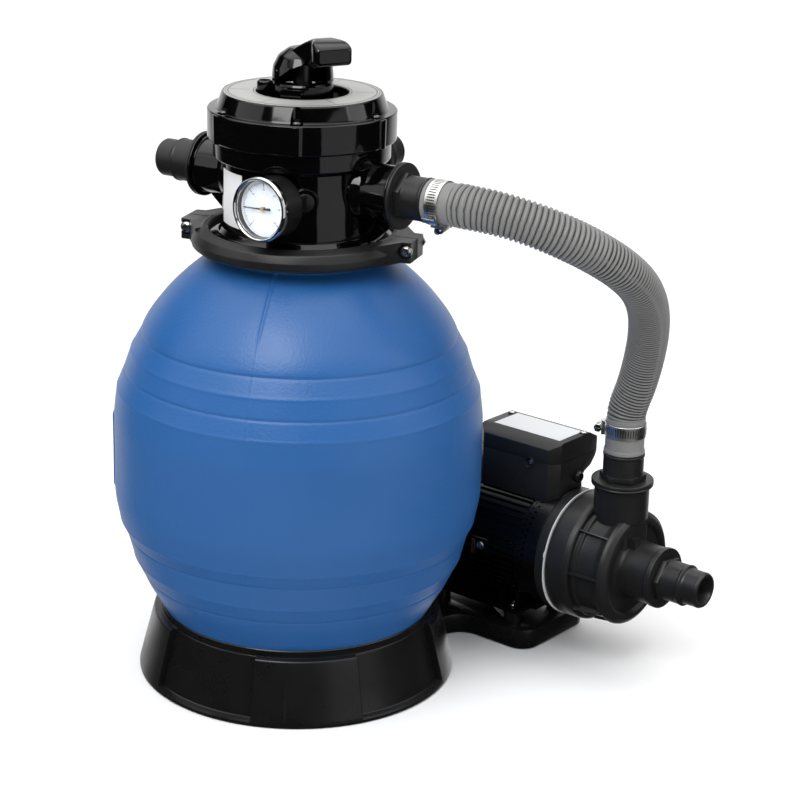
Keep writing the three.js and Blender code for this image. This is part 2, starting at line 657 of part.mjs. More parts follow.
function cableGland() {
  const face = BOX_RIGHT + GAP;
  const outline = [
    [2, BOX_RIGHT - 8], [3.5, BOX_RIGHT - 8], [3.5, face], [6, face], [6, face + 3], [4.5, face + 5],
    [2, face + 5],
  ];
  const gland = piece('cable_gland', alongX(turned(outline, 12)), SOFT_BLACK());
  gland.position.set(...CABLE_AT);
  return gland;
}

function sealPlate() {
  const outline = [
    [17.8, 156], [22, 156], [22, 168], [60.8, 168], [60.8, 178.6], [8, 178.6], [8, 167.2], [17.8, 167.2],
  ];
  return piece('seal_plate', alongX(turned(outline, PUMP_SIDES)), SOFT_BLACK());
}

function volute() {
  const outline = [
    [51, CASING_X], [61.5, CASING_X], [61.5, 204], [60, 205.9], [55.6, 206.6], [56.6, 208.6], [56.6, 211.8],
    [54, 212.6], [54, 233], [56.4, 236.5], [55.2, 241], [50.6, 244.5], [46, 244.5], [43, 241], [31, 240],
    [28, 242], [28.3, 271], [29.5, 272.5],
    [29.5, SUCTION_FACE], [PORT_BORE_R, SUCTION_FACE], [PORT_BORE_R, 232], [24, 222], [51, 214],
  ];
  const top = DISCHARGE_TOP - SHAFT_Z;
  const upright = (geometry) => geometry.translate(DISCHARGE_X, 0, 0);
  const aheadOfRing = slab([243.6, 260], [-40, 40], [0, 50.5]);
  const neck = cut(upright(rod(26.2, 25, top - 5, PIPE_SIDES)), aheadOfRing);
  const rim = upright(rod(29.6, top - 5.7, top, PIPE_SIDES));
  const outletBore = upright(rod(PORT_BORE_R, 20, top + 5, PIPE_SIDES));
  const inside = alongX(turned([[0, 170], [51, 170], [51, 214], [24, 222], [0, 222]], PUMP_SIDES));
  const ribs = [-129, -87, -45, 45, 87, 129, 180].map((turn) =>
    plate([[205, 53], [205, 60], [237, 57.4], [240, 53]], 1.8).rotateX(rad(turn)));
  const lug = slab([239, 251], [-14, -5], [24, 36]);
  const body = join(alongX(turned(outline, PUMP_SIDES)), neck, rim, ...ribs, lug);
  return piece('volute', cut(body, inside, outletBore), SOFT_BLACK());
}

function impeller() {
  const vane = () => slab([199, 210], [-1.5, 1.5], [12, 45]).rotateX(rad(25)).translate(0, 4, 0);
  const vanes = around(6, (turn) => vane().rotateX(rad(turn)));
  const outline = [[0, 196.5], [46, 196.5], [46, 199.5], [13, 200], [11, 213], [0, 213]];
  const disc = alongX(turned(outline, PIPE_SIDES));
  const shaftHole = alongX(rod(7.4, 190, 208.5, PIPE_SIDES));
  return piece('impeller', cut(join(disc, ...vanes), shaftHole), SOFT_BLACK());
}

function pumpAdapters() {
  const suction = adapter('suction_adapter');
  suction.rotation.y = Math.PI / 2;
  suction.position.x = SUCTION_FACE;
  const discharge = adapter('discharge_adapter');
  discharge.position.set(DISCHARGE_X, 0, DISCHARGE_TOP - SHAFT_Z);
  return [suction, discharge];
}

function pump() {
  const seal = [[7.5, 179], [14, 179], [14, 188], [11, 194], [7.5, 194]];
  const made = group(
    motorHousing(), footScrews(), motorInside(), fan(), fanCover(), terminalBox(), boxLid(), cableGland(),
    sealPlate(), volute(), impeller(), pumpAdapters(),
    piece('casing_gasket', alongX(ring(55, GASKET_R, 178.9, 180.2, PUMP_SIDES)), WHITE()),
    piece('shaft_seal', alongX(turned(seal, 16)), RUBBER()),
  );
  made.position.set(0, SHAFT_Y, SHAFT_Z);
  return made;
}

// ---------- the whole set ----------

function hoseEnds() {
  const atValve = group(
    hoseCuff('cuff_valve', CUFF_START, CUFF_END), hoseClamp('hose_clamp_valve', 145.5, 0),
  );
  atValve.rotation.set(0, Math.PI / 2, rad(VALVE_CLOCK), 'ZYX');
  atValve.position.z = PORT_Z;
  const atPump = group(
    hoseCuff('cuff_pump', PUMP_CUFF_BOTTOM, PUMP_CUFF_TOP), hoseClamp('hose_clamp_pump', 235.8, 180),
  );
  atPump.position.set(DISCHARGE_X, SHAFT_Y, 0);
  return [atValve, atPump];
}

const pumpSet = group(base(), tank(), standpipe(), neckClamp(), valve(), pump(), hoseEnds(), hose());

const farRight = SUCTION_FACE + ADAPTER_LENGTH;
const farBack = SHAFT_Y + GASKET_R;
pumpSet.position.set((TANK_R - farRight) / 2, (TANK_R - farBack) / 2, 0);

export default pumpSet;
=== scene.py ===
import math

import bmesh
import bpy
import numpy as np
from mathutils import Matrix, Vector


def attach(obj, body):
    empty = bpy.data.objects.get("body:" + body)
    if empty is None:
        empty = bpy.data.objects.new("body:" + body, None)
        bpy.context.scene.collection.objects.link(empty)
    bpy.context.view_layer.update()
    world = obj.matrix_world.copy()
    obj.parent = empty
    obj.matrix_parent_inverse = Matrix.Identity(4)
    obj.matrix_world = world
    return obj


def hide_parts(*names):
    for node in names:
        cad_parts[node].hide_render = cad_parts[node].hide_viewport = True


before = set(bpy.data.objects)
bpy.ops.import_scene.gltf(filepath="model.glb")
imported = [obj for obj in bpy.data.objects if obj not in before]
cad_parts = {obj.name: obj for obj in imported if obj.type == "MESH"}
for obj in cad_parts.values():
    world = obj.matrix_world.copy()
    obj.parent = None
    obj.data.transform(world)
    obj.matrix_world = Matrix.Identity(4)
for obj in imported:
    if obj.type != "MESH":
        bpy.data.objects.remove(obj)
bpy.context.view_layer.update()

# ---------- places ----------



def at(x=0.0, y=0.0, z=0.0):
    return Matrix.Translation((x, y, z))


def spin(turn, axis="Z"):
    return Matrix.Rotation(math.radians(turn), 4, axis)


PORT_HEIGHT = 473.6
PLUG_TURN, PLUG_HEIGHT = -54, 470
CLAMP_HEIGHT, CLAMP_BOLT_X = 422, 106
PIN_HEIGHT = 575
PUMP_Y, SHAFT_HEIGHT = 212.5, 98
OUTLET_X, OUTLET_TOP = 223, 87.9
FEET = [(38, 176), (38, 249), (128, 176), (128, 249)]

SET = Matrix.Scale(0.001, 4) @ at(-75.35, -51.9)
VALVE = SET @ spin(8.4)
CLAMP = SET @ spin(21)
PUMP = SET @ at(0, PUMP_Y, SHAFT_HEIGHT)
ALONG_X = spin(90, "Y")
ALONG_Y = spin(-90, "X")


def outwards(turn, height):
    """Points local Z away from the axis, at an azimuth and a height."""
    return at(z=height) @ spin(turn) @ ALONG_X


def polar(radius, turn):
    """A point at a radius and an azimuth in degrees."""
    return radius * math.cos(math.radians(turn)), radius * math.sin(math.radians(turn))


# ---------- shapes: each is (corners, faces) ----------


def rounded(points, steps=4, loop=False):
    """Corners with a third number get an arc of about that radius."""
    out = []
    n = len(points)
    for i, p in enumerate(points):
        size = p[2] if len(p) > 2 else 0
        if not size or (not loop and i in (0, n - 1)):
            out.append((p[0], p[1]))
            continue
        here = np.array(p[:2], float)
        legs = [np.array(points[(i + k) % n][:2], float) - here for k in (-1, 1)]
        spans = [np.linalg.norm(v) for v in legs]
        a, b = (v / s for v, s in zip(legs, spans))
        half = math.acos(max(-1, min(1, float(a @ b)))) / 2
        reach = min(size / max(math.tan(half), 0.05), spans[0] * 0.48, spans[1] * 0.48)
        for k in range(steps + 1):
            t = k / steps
            q = here + a * reach * (1 - t) ** 2 + b * reach * t**2
            out.append((float(q[0]), float(q[1])))
    return out


def skinned(rows, closed=False, wrap=True):
    """Faces between rows of points, where a row of one point is a tip.

    closed joins the last row to the first, and wrap joins each row's ends.
    """
    n = max(len(row) for row in rows)
    verts, rings = [], []
    for row in rows:
        rings.append([len(verts) + (i if len(row) > 1 else 0) for i in range(n)])
        verts += row
    pairs = list(zip(rings, rings[1:]))
    if closed:
        pairs.append((rings[-1], rings[0]))
    faces = []
    for lo, hi in pairs:
        for i in range(n if wrap else n - 1):
            j = (i + 1) % n
            face = list(dict.fromkeys((lo[i], lo[j], hi[j], hi[i])))
            if len(face) > 2:
                faces.append(face)
    if not wrap:
        faces += [list(dict.fromkeys(ring[i] for ring in rings)) for i in (0, n - 1)]
    return verts, faces


def lathe(profile, n=96, span=None):
    """(radius, height) corners turned about Z. One that leaves the axis closes on itself."""
    turns = np.linspace(*span, n) if span else np.arange(n) * 360 / n
    rows = [[(*polar(r, t), z) for t in turns] if r > 1e-6 else [(0, 0, z)] for r, z in profile]
    return skinned(rows, closed=profile[0][0] > 1e-6, wrap=not span)


def turned(corners, sides=96, soft=4):
    """A lathe of corners that are softened in so many steps."""
    return lathe(rounded(corners, soft), sides)


def rod(radius, z0, z1, n=32, edge=0.0):
    if edge:
        return lathe(rounded([(0, z0), (radius, z0, edge), (radius, z1, edge), (0, z1)], 3), n)
    return lathe([(0, z0), (radius, z0), (radius, z1), (0, z1)], n)


def ring(inner, outer, z0, z1, n=64, edge=0.0):
    corners = [(inner, z0, edge), (outer, z0, edge), (outer, z1, edge), (inner, z1, edge)]
    return lathe(rounded(corners, 3, True) if edge else [c[:2] for c in corners], n)


def prism(outline, z0, z1):
    n = len(outline)
    verts = [(x, y, z) for z in (z0, z1) for x, y in outline]
    faces = [list(range(n))[::-1], list(range(n, 2 * n))]
    faces += [[i, (i + 1) % n, n + (i + 1) % n, n + i] for i in range(n)]
    return verts, faces


def box(x, y, z):
    return prism([(x[0], y[0]), (x[1], y[0]), (x[1], y[1]), (x[0], y[1])], *z)


def moved(shape, matrix):
    return [tuple(matrix @ Vector(v)) for v in shape[0]], shape[1]


def beam(outline, x0, x1):
    """(y, z) corners run along X."""
    return moved(prism(outline, x0, x1), Matrix(((0, 0, 1, 0), (1, 0, 0, 0), (0, 1, 0, 0), (0, 0, 0, 1))))


def plate(outline, thick):
    """(x, z) corners, the thickness centred on Y = 0."""
    return moved(prism(outline, -thick / 2, thick / 2), spin(90, "X"))


def loft(sections):
    """Rings of equal length, joined, with both ends closed."""
    n = len(sections[0])
    verts = [tuple(p) for s in sections for p in s]
    faces = [list(range(n))[::-1], list(range(len(verts) - n, len(verts)))]
    for k in range(len(sections) - 1):
        faces += [
            [k * n + i, k * n + (i + 1) % n, (k + 1) * n + (i + 1) % n, (k + 1) * n + i] for i in range(n)
        ]
    return verts, faces


def joined(*shapes):
    verts, faces = [], []
    for v, f in shapes:
        faces += [[i + len(verts) for i in face] for face in f]
        verts += v
    return verts, faces


def around(count, make, start=0.0):
    return [moved(make(), spin(start + 360 / count * i)) for i in range(count)]


def rounded_box(half_x, half_y, radius, n=6):
    """Corners of a rectangle with round corners, in its own plane."""
    out = []
    for cx, cy, start in ((1, 1, 0), (-1, 1, 90), (-1, -1, 180), (1, -1, 270)):
        for k in range(n + 1):
            x, y = polar(radius, start + 90 * k / n)
            out.append((cx * (half_x - radius) + x, cy * (half_y - radius) + y))
    return out


# ---------- objects ----------


def to_object(name, shape):
    mesh = bpy.data.meshes.new(name)
    mesh.from_pydata(shape[0], [], shape[1])
    work = bmesh.new()
    work.from_mesh(mesh)
    bmesh.ops.recalc_face_normals(work, faces=work.faces)
    work.to_mesh(mesh)
    work.free()
    obj = bpy.data.objects.new(name, mesh)
    bpy.context.collection.objects.link(obj)
    return obj


def settle(obj):
    """Applies the object's modifiers to its mesh."""
    graph = bpy.context.evaluated_depsgraph_get()
    mesh = bpy.data.meshes.new_from_object(obj.evaluated_get(graph))
    obj.modifiers.clear()
    old, obj.data = obj.data, mesh
    bpy.data.meshes.remove(old)


def combine(obj, shapes, how):
    for shape in shapes:
        tool = to_object("tool", shape)
        step = obj.modifiers.new("solid", "BOOLEAN")
        step.operation, step.solver, step.object = how, "EXACT", tool
        settle(obj)
        bpy.data.objects.remove(tool)


SLOT_OF = {
    "tank_blue": "tank_blue", "base_black": "base_black", "hose_grey": "hose_grey",
    "valve_gloss": "valve_black", "bezel_chrome": "chrome", "gauge_glass": "lens",
    "pump_satin": "pump_black", "nozzle_satin": "pump_black", "clamp_black": "pump_black",
    "gauge_black": "pump_black", "motor_enamel": "pump_black",
    "band_steel": "steel", "screw_zinc": "steel", "lid_screw_black": "steel",
    "needle_brass": "steel", "tab_copper": "steel",
    "dial_white": "white", "dial_ink": "white", "label_film": "white", "sticker_white": "white",
    "gasket_white": "white",
}


def part(
    name, shape, place, finish, body="root", nodes=(), cut=(), add=(), keep=(), bevel=0.0, slot=None,
    angle=32,
):
    """One piece: a shape with others added and cut, bevelled, placed and riding on its body."""
    obj = to_object(name, shape)
    combine(obj, keep, "INTERSECT")
    combine(obj, add, "UNION")
    combine(obj, cut, "DIFFERENCE")
    if bevel:
        step = obj.modifiers.new("edge", "BEVEL")
        step.width, step.segments, step.limit_method = bevel, 2, "ANGLE"
        step.angle_limit = math.radians(35)
        step.use_clamp_overlap = True
        settle(obj)
    obj.data.transform(place)
    obj.data.materials.clear()
    finishes = finish if isinstance(finish, list) else [finish]
    for one in finishes:
        obj.data.materials.append(one)
    obj.data.shade_smooth()
    obj.data.set_sharp_from_angle(angle=math.radians(angle))
    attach(obj, body)
    if nodes:
        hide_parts(nodes)
    # Blender numbers a finish that shares its name with a CAD colour.
    slot = slot or SLOT_OF.get(finishes[0].name.split(".")[0])
    return obj


# ---------- materials ----------


def surface(name, colour, rough, grain, patch, metal=0.0, **extra):
    """A finish whose colour, roughness and skin all vary over the piece.

    rough is the span of roughness, grain the fine bumps' scale and height in metres, patch the wide
    variation's scale and its share of the colour.
    """
    m = bpy.data.materials.new(name)
    m.use_nodes = True
    tree = m.node_tree
    shader = tree.nodes["Principled BSDF"]
    link = tree.links.new

    def node(kind, **values):
        made = tree.nodes.new(kind)
        for key, value in values.items():
            made.inputs[key].default_value = value
        return made

    coords = tree.nodes.new("ShaderNodeTexCoord")
    wide = node("ShaderNodeTexNoise", Scale=patch[0], Detail=5.0, Roughness=0.6)
    fine = node("ShaderNodeTexNoise", Scale=grain[0], Detail=2.0)
    for n in (wide, fine):
        link(coords.outputs["Object"], n.inputs["Vector"])
    mix = tree.nodes.new("ShaderNodeMix")
    mix.data_type = "RGBA"
    for socket, share in ((6, 1 - patch[1]), (7, 1 + patch[1])):
        mix.inputs[socket].default_value = tuple(min(1, c * share) for c in colour) + (1,)
    link(wide.outputs["Fac"], mix.inputs[0])
    link(mix.outputs[2], shader.inputs["Base Color"])
    span = node("ShaderNodeMapRange")
    for key, value in (("From Min", 0.35), ("From Max", 0.65), ("To Min", rough[0]), ("To Max", rough[1])):
        span.inputs[key].default_value = value
    link(wide.outputs["Fac"], span.inputs["Value"])
    link(span.outputs["Result"], shader.inputs["Roughness"])
    bump = node("ShaderNodeBump", Strength=1.0, Distance=grain[1])
    link(fine.outputs["Fac"], bump.inputs["Height"])
    link(bump.outputs["Normal"], shader.inputs["Normal"])
    shader.inputs["Metallic"].default_value = metal
    for key, value in extra.items():
        shader.inputs[key.replace("_", " ")].default_value = value
    return m


BLUE = surface(
    "tank_blue", (0.0145, 0.097, 0.300), (0.34, 0.46), (420, 0.00024), (7, 0.10), Specular_IOR_Level=0.45,
)
BASE = surface("base_black", (0.006, 0.006, 0.0065), (0.22, 0.36), (700, 0.00004), (16, 0.25))
GLOSS = surface("valve_gloss", (0.0012, 0.0012, 0.0014), (0.05, 0.10), (60, 0.00010), (20, 0.2))
SATIN = surface("pump_satin", (0.0105, 0.0105, 0.011), (0.34, 0.48), (1300, 0.00004), (22, 0.2))
NOZZLE = surface("nozzle_satin", (0.010, 0.010, 0.0105), (0.34, 0.48), (900, 0.00005), (30, 0.2))
CLAMP_BLACK = surface("clamp_black", (0.010, 0.010, 0.0105), (0.36, 0.48), (1400, 0.00004), (25, 0.2))
CASE_BLACK = surface("gauge_black", (0.005, 0.005, 0.005), (0.28, 0.40), (1500, 0.00002), (40, 0.2))
MOTOR = surface(
    "motor_enamel", (0.0016, 0.0016, 0.0018), (0.14, 0.28), (500, 0.00010), (30, 0.2),
    Specular_IOR_Level=0.3,
)
GREY = surface("hose_grey", (0.185, 0.185, 0.183), (0.36, 0.50), (1200, 0.00003), (12, 0.07))
# Painted shade: a darker grey for the hose's rib valleys, standing in for the shade that falls in them.
HOSE_VALLEY_PAINTED_SHADE = surface("hose_valley_painted_shade", (0.062, 0.062, 0.061), (0.5, 0.7), (1200, 0.00003), (12, 0.07))
STEEL = surface("band_steel", (0.86, 0.85, 0.83), (0.22, 0.42), (500, 0.00003), (60, 0.15), metal=1.0)
ZINC = surface("screw_zinc", (0.66, 0.66, 0.65), (0.14, 0.30), (900, 0.00003), (120, 0.15), metal=1.0)
DARK_ZINC = surface(
    "lid_screw_black", (0.12, 0.12, 0.12), (0.16, 0.30), (900, 0.00003), (120, 0.15), metal=1.0,
)
CHROME = surface("bezel_chrome", (0.80, 0.80, 0.81), (0.05, 0.12), (900, 0.00001), (90, 0.05), metal=1.0)
DIAL = surface("dial_white", (0.78, 0.84, 0.92), (0.45, 0.6), (900, 0.00001), (60, 0.04))
INK = surface("dial_ink", (0.03, 0.03, 0.035), (0.5, 0.6), (900, 0.00001), (60, 0.1))
BRASS = surface("needle_brass", (0.55, 0.36, 0.16), (0.25, 0.4), (900, 0.00001), (60, 0.1), metal=1.0)
COPPER = surface("tab_copper", (0.60, 0.23, 0.09), (0.25, 0.4), (900, 0.00002), (90, 0.2), metal=1.0)
LABEL = surface("label_film", (0.37, 0.37, 0.36), (0.38, 0.55), (500, 0.00002), (35, 0.09))
STICKER = surface("sticker_white", (0.70, 0.71, 0.72), (0.35, 0.5), (900, 0.00002), (40, 0.05))
FOAM = surface("gasket_white", (0.56, 0.57, 0.56), (0.6, 0.8), (700, 0.0001), (90, 0.1))
SLOT = surface("slot_shadow", (0.03, 0.03, 0.03), (0.5, 0.7), (900, 0.00002), (60, 0.2), metal=0.6)
RUBBER = surface("rubber_black", (0.010, 0.010, 0.010), (0.6, 0.8), (900, 0.00006), (40, 0.2))
GLASS = surface(
    "gauge_glass", (1, 1, 1), (0.0, 0.02), (900, 0.0), (40, 0.0), Transmission_Weight=1.0, IOR=1.45,
)
PALE = surface("floor_pale", (0.92, 0.92, 0.92), (0.8, 0.9), (300, 0.00001), (2, 0.01))

# ---------- camera ----------

roll = math.radians(1.465)
look = Vector((-0.59985, 0.73287, -0.32106)).normalized()
level = Vector((0.77384, 0.63338, 0)).normalized()
above = level.cross(look)
right = level * math.cos(roll) + above * math.sin(roll)
up = above * math.cos(roll) - level * math.sin(roll)
lens = bpy.data.cameras.new("camera")
lens.lens, lens.sensor_width = 102.16, 36.0
lens.clip_start, lens.clip_end = 0.05, 50.0
camera = bpy.data.objects.new("camera", lens)
bpy.context.collection.objects.link(camera)
turn = Matrix((right, up, -look)).transposed().to_4x4()
camera.matrix_world = Matrix.Translation((1.26385, -1.5403, 0.944)) @ turn
bpy.context.scene.camera = camera

# ---------- hose with its cuffs and clamps ----------

ROUTE = [
    (159.2, 23.5, 473.6), (163.6, 24.2, 473.6), (172, 25.9, 473.1), (185, 31, 471.8), (203, 39.5, 468.5),
    (223, 53, 461.7), (242, 72, 450.8), (257, 96, 436), (266.7, 124, 417.3), (268, 152.7, 395.4),
    (262, 178, 369.4), (252, 197, 339.5), (241, 208.4, 307.8), (231.5, 212.7, 279), (225.4, 213, 262),
    (223.3, 212.6, 252), (223, 212.5, 246.8),
]


def smooth_route(points, step=0.5):
    """Centripetal Catmull-Rom through the points, at even steps along its length."""
    p = np.array(points, float)
    p = np.vstack([2 * p[0] - p[1], p, 2 * p[-1] - p[-2]])
    out = []
    for i in range(1, len(p) - 2):
        a, b, c, d = p[i - 1 : i + 3]
        t0 = 0.0
        t1 = t0 + np.linalg.norm(b - a) ** 0.5
        t2 = t1 + np.linalg.norm(c - b) ** 0.5
        t3 = t2 + np.linalg.norm(d - c) ** 0.5
        for t in np.linspace(t1, t2, 40, endpoint=False):
            a1 = (t1 - t) / (t1 - t0) * a + (t - t0) / (t1 - t0) * b
            a2 = (t2 - t) / (t2 - t1) * b + (t - t1) / (t2 - t1) * c
            a3 = (t3 - t) / (t3 - t2) * c + (t - t2) / (t3 - t2) * d
            b1 = (t2 - t) / (t2 - t0) * a1 + (t - t0) / (t2 - t0) * a2
            b2 = (t3 - t) / (t3 - t1) * a2 + (t - t1) / (t3 - t1) * a3
            out.append((t2 - t) / (t2 - t1) * b1 + (t - t1) / (t2 - t1) * b2)
    out = np.array(out + [p[-2]])
    for _ in range(60):
        out[1:-1] = out[1:-1] * 0.5 + (out[:-2] + out[2:]) * 0.25
    run = np.concatenate([[0], np.cumsum(np.linalg.norm(np.diff(out, axis=0), axis=1))])
    even = np.linspace(0, run[-1], int(run[-1] / step) + 1)
    return np.stack([np.interp(even, run, out[:, k]) for k in range(3)], 1), run[-1]


def frames(points):
    """Two cross directions at each point, carried along without twist."""
    tangents = np.gradient(points, axis=0)
    tangents /= np.linalg.norm(tangents, axis=1)[:, None]
    side = np.cross(tangents[0], [0, 0, 1.0])
    sides = []
    for t in tangents:
        side = side - (side @ t) * t
        side = side / np.linalg.norm(side)
        sides.append(side)
    sides = np.array(sides)
    return sides, np.cross(tangents, sides)


HOSE_SIDES, RIB_STEPS = 56, 10


def ribbed_hose():
    """The hose's skin, whose ribs open out at the valve and close up over the bend."""
    line, length = smooth_route(ROUTE)
    side, over = frames(line)
    run = np.linspace(0, length, len(line))
    pitch = np.interp(run / length, [0, 0.2, 0.42, 0.6, 0.8, 1], [4.9, 4.8, 4.3, 3.1, 3.3, 3.9])
    phase = np.concatenate([[0], np.cumsum((run[1] - run[0]) / pitch[1:])])
    ribs = int(phase[-1])
    phase *= ribs / phase[-1]
    crest = np.interp(run / length, [0, 0.02, 0.3, 0.8, 1], [19.3, 19.6, 19.6, 18.9, 18.6])
    depth = np.interp(run / length, [0, 0.2, 0.42, 0.7, 1], [1.9, 2.6, 2.4, 1.6, 1.9])
    marks = np.interp(np.arange(ribs * RIB_STEPS + 1) / RIB_STEPS, phase, run)
    wave = 0.5 - 0.5 * np.cos(2 * math.pi * np.arange(ribs * RIB_STEPS + 1) / RIB_STEPS)
    wave = wave**0.55
    sections = []
    for s, w in zip(marks, wave):
        centre, e1, e2 = ([np.interp(s, run, a[:, k]) for k in range(3)] for a in (line, side, over))
        radius = np.interp(s, run, crest) - (1 - w) * np.interp(s, run, depth)
        a = np.arange(HOSE_SIDES) * 2 * math.pi / HOSE_SIDES
        sections.append(
            np.array(centre) + radius * (
                np.cos(a)[:, None] * np.array(e1) + np.sin(a)[:, None] * np.array(e2)
            )
        )
    return loft(sections), line, length


hose_shape, hose_line, hose_length = ribbed_hose()
hose = part("hose_ribbed", hose_shape, SET, [GREY, HOSE_VALLEY_PAINTED_SHADE], nodes="hose", angle=70)
# Painted shade: each rib valley's faces take the darker grey. Past the first third of the hose, a wider band
# of each valley does.
for face in hose.data.polygons:
    step = face.index // HOSE_SIDES % RIB_STEPS
    past_first_third = face.index > len(hose.data.polygons) * 0.3
    if len(face.vertices) == 4 and (step in (0, 9) or (step in (1, 8) and past_first_third)):
        face.material_index = 1

VALVE_END = VALVE @ outwards(0, PORT_HEIGHT)
PUMP_END = SET @ at(OUTLET_X, PUMP_Y, 0)


def cuff(name, start, end, place, node):
    profile = [
        (17.6, start), (19.7, start, 0.6), (19.5, start + 2.6, 1.0), (18.6, start + 4.5, 1.0),
        (18.6, end - 2, 0.8), (17.9, end, 0.6), (17.6, end),
    ]
    return part(name, turned(profile, 72), place, GREY, nodes=node)


cuffs = [
    cuff("hose_cuff_valve", 134.8, 161, VALVE_END, "cuff_valve"),
    cuff("hose_cuff_pump", 213.1, 247.6, PUMP_END, "cuff_pump"),
]


def slotted_band(middle, half=6.4, radius=19.1, first=35, last=330, gap=7.2):
    """A thin band with slots pressed into it between two azimuths."""
    edges = [0.0]
    turn = first
    slots = []
    while turn < last:
        slots.append((turn, turn + gap * 0.42))
        turn += gap
    for a, b in slots:
        edges += [a, b]
    edges += [last + 8, 345, 352]
    plain = [x for x in range(0, 360, 8) if all(not a - 1 < x < b + 1 for a, b in slots)]
    edges = sorted(set(edges + plain))
    rows = [-half, -half + 0.3, -3.9, 3.9, half - 0.3, half]
    outer, inner = radius + 0.9, radius
    verts, faces, kinds = [], [], []
    n = len(edges)

    def level(row):
        return outer - (0.25 if row in (0, 5) else 0)

    for k, z in enumerate(rows):
        verts += [(*polar(level(k), t), middle + z) for t in edges]
    for z in (rows[0], rows[-1]):
        verts += [(*polar(inner, t), middle + z) for t in edges]
    for k in range(5):
        for i in range(n):
            j = (i + 1) % n
            quad = [k * n + i, k * n + j, (k + 1) * n + j, (k + 1) * n + i]
            pressed = k == 2 and any(abs(edges[i] - a) < 1e-6 for a, _ in slots)
            if not pressed:
                faces.append(quad)
                kinds.append(0)
                continue
            base = len(verts)
            sunk = outer - 0.55
            for q in quad:
                x, y, z = verts[q]
                verts.append((x * sunk / outer, y * sunk / outer, z))
            faces.append([base, base + 1, base + 2, base + 3])
            kinds.append(1)
            for e in range(4):
                f = (e + 1) % 4
                faces.append([quad[e], quad[f], base + f, base + e])
                kinds.append(0)
    low, high = 6 * n, 7 * n
    for i in range(n):
        j = (i + 1) % n
        faces.append([low + i, low + j, j, i])
        faces.append([high + j, high + i, 5 * n + i, 5 * n + j])
        faces.append([low + j, low + i, high + i, high + j])
        kinds += [0, 0, 0]
    return (verts, faces), kinds


def hose_clamp(name, place, middle, direction, node, tail):
    """A slotted band with its screw housing, screw and worm, and on one of them the band's loose tail."""
    shape, kinds = slotted_band(middle)
    band = part(name + "_band", shape, place @ spin(direction), [STEEL, SLOT], nodes=node, angle=25)
    for face, kind in zip(band.data.polygons, kinds):
        face.material_index = kind
    spot = place @ spin(direction) @ at(z=middle)
    saddle = prism([(18.6, -8.5), (21.4, -8.5), (21.4, 8.5), (18.6, 8.5)], -6.9, 6.9)
    arch = rounded([(20.4, -4.2, 1.5), (27.4, -4.2, 3.4), (27.4, 4.2, 3.4), (20.4, 4.2, 1.5)], 5, True)
    housing = joined(moved(prism(arch, -6.6, 6.6), spin(90, "X")), saddle)
    head = turned([(0, 6.4), (3.2, 6.4), (3.2, 8.2), (4.2, 8.4, 0.4), (4.2, 12.2, 0.5), (0, 12.2)], 6, 3)
    slit = box((-5, 5), (-0.5, 0.5), (10.8, 13))
    worm_profile = [(0, -9.5), (2.1, -9.5)]
    for k in range(12):
        worm_profile += [(3.0, -9.2 + k * 1.3), (2.4, -8.6 + k * 1.3)]
    worm = lathe(worm_profile + [(2.4, 6.6), (0, 6.6)], 24)
    screw_place = spot @ at(24.0, 0, 0) @ spin(-90, "X")
    made = [
        band,
        part(name + "_housing", housing, spot, STEEL, bevel=0.35),
        part(name + "_screw", head, screw_place, ZINC, cut=[slit], bevel=0.15),
        part(name + "_worm", worm, screw_place, ZINC),
    ]
    if tail:
        strip = []
        for k in range(12):
            t = k / 11
            r = 20.2 + 4.8 * t**1.8
            corners = ((r, -6.3), (r + 0.8, -6.3), (r + 0.8, 6.3), (r, 6.3))
            strip.append([(*polar(reach, -28 - 46 * t), z) for reach, z in corners])
        made.append(part(name + "_tail", loft(strip), spot, STEEL))
    return made


clamps = hose_clamp("clip_valve", VALVE_END, 145.6, 8, "hose_clamp_valve", True)
clamps += hose_clamp("clip_pump", PUMP_END, 235.8, 196, "hose_clamp_pump", False)

# ---------- tank ----------


LEDGE_SPANS = [(97, 159), (276, 336)]
GROOVES = [102.5, 141.5, 297.5, 331.5]
CRESTS = [118, 154.5, 280.5, 315.5]
SEAMS = [296.0, 116.0]
MARK_TURN = 223.0


def softened(profile):
    """The moulded wall with its corners softened, little at the ledges and much between them."""
    fine = np.arange(60, 399, 0.5)
    radii = np.interp(fine, [p[1] for p in profile], [p[0] for p in profile])
    ledge = np.array([float(any(a < z < b for a, b in LEDGE_SPANS)) for z in fine])
    for reach, share in ((5, ledge), (24, 1 - ledge)):
        kernel = np.hanning(2 * reach + 3)[1:-1]
        padded = np.pad(radii, reach, "reflect", reflect_type="odd")
        soft = np.convolve(padded, kernel / kernel.sum(), "valid")
        share = np.convolve(np.pad(share, 8, "edge"), np.ones(17) / 17, "valid")
        radii = radii + (soft - radii) * share
    spans = [(62, 95, 3), (95, 161, 0.8), (162, 270, 4), (271, 345, 0.8), (346, 398, 2.5)]
    heights = np.concatenate([np.arange(*span) for span in spans])
    return [(float(np.interp(z, fine, radii)), float(z)) for z in heights]


def tank_relief(turn, z):
    """How far the wall stands off its profile: seams, a raised mark, ledge creases and waviness."""
    seam = min(abs((turn - s + 180) % 360 - 180) for s in SEAMS)
    ridge = max(0.0, min(1.0, (z - 352) / 40))
    lift = (0.22 + 2.4 * ridge) * math.exp(-((seam / (0.32 + 0.7 * ridge)) ** 2))
    if abs(turn - MARK_TURN) < 1.45 and 180 < z < 253:
        lift += 1.3
    a = math.radians(turn)
    lift -= sum(0.75 * math.exp(-(((z - c) / 1.1) ** 2)) for c in GROOVES)
    lift += sum(0.40 * math.exp(-(((z - c) / 1.5) ** 2)) for c in CRESTS)
    lift += 0.35 * math.sin(3 * a + z * 0.021) * math.sin(z * 0.034 + 1.2)
    lift += 0.18 * math.sin(7 * a + 0.9) * math.sin(z * 0.06)
    return lift


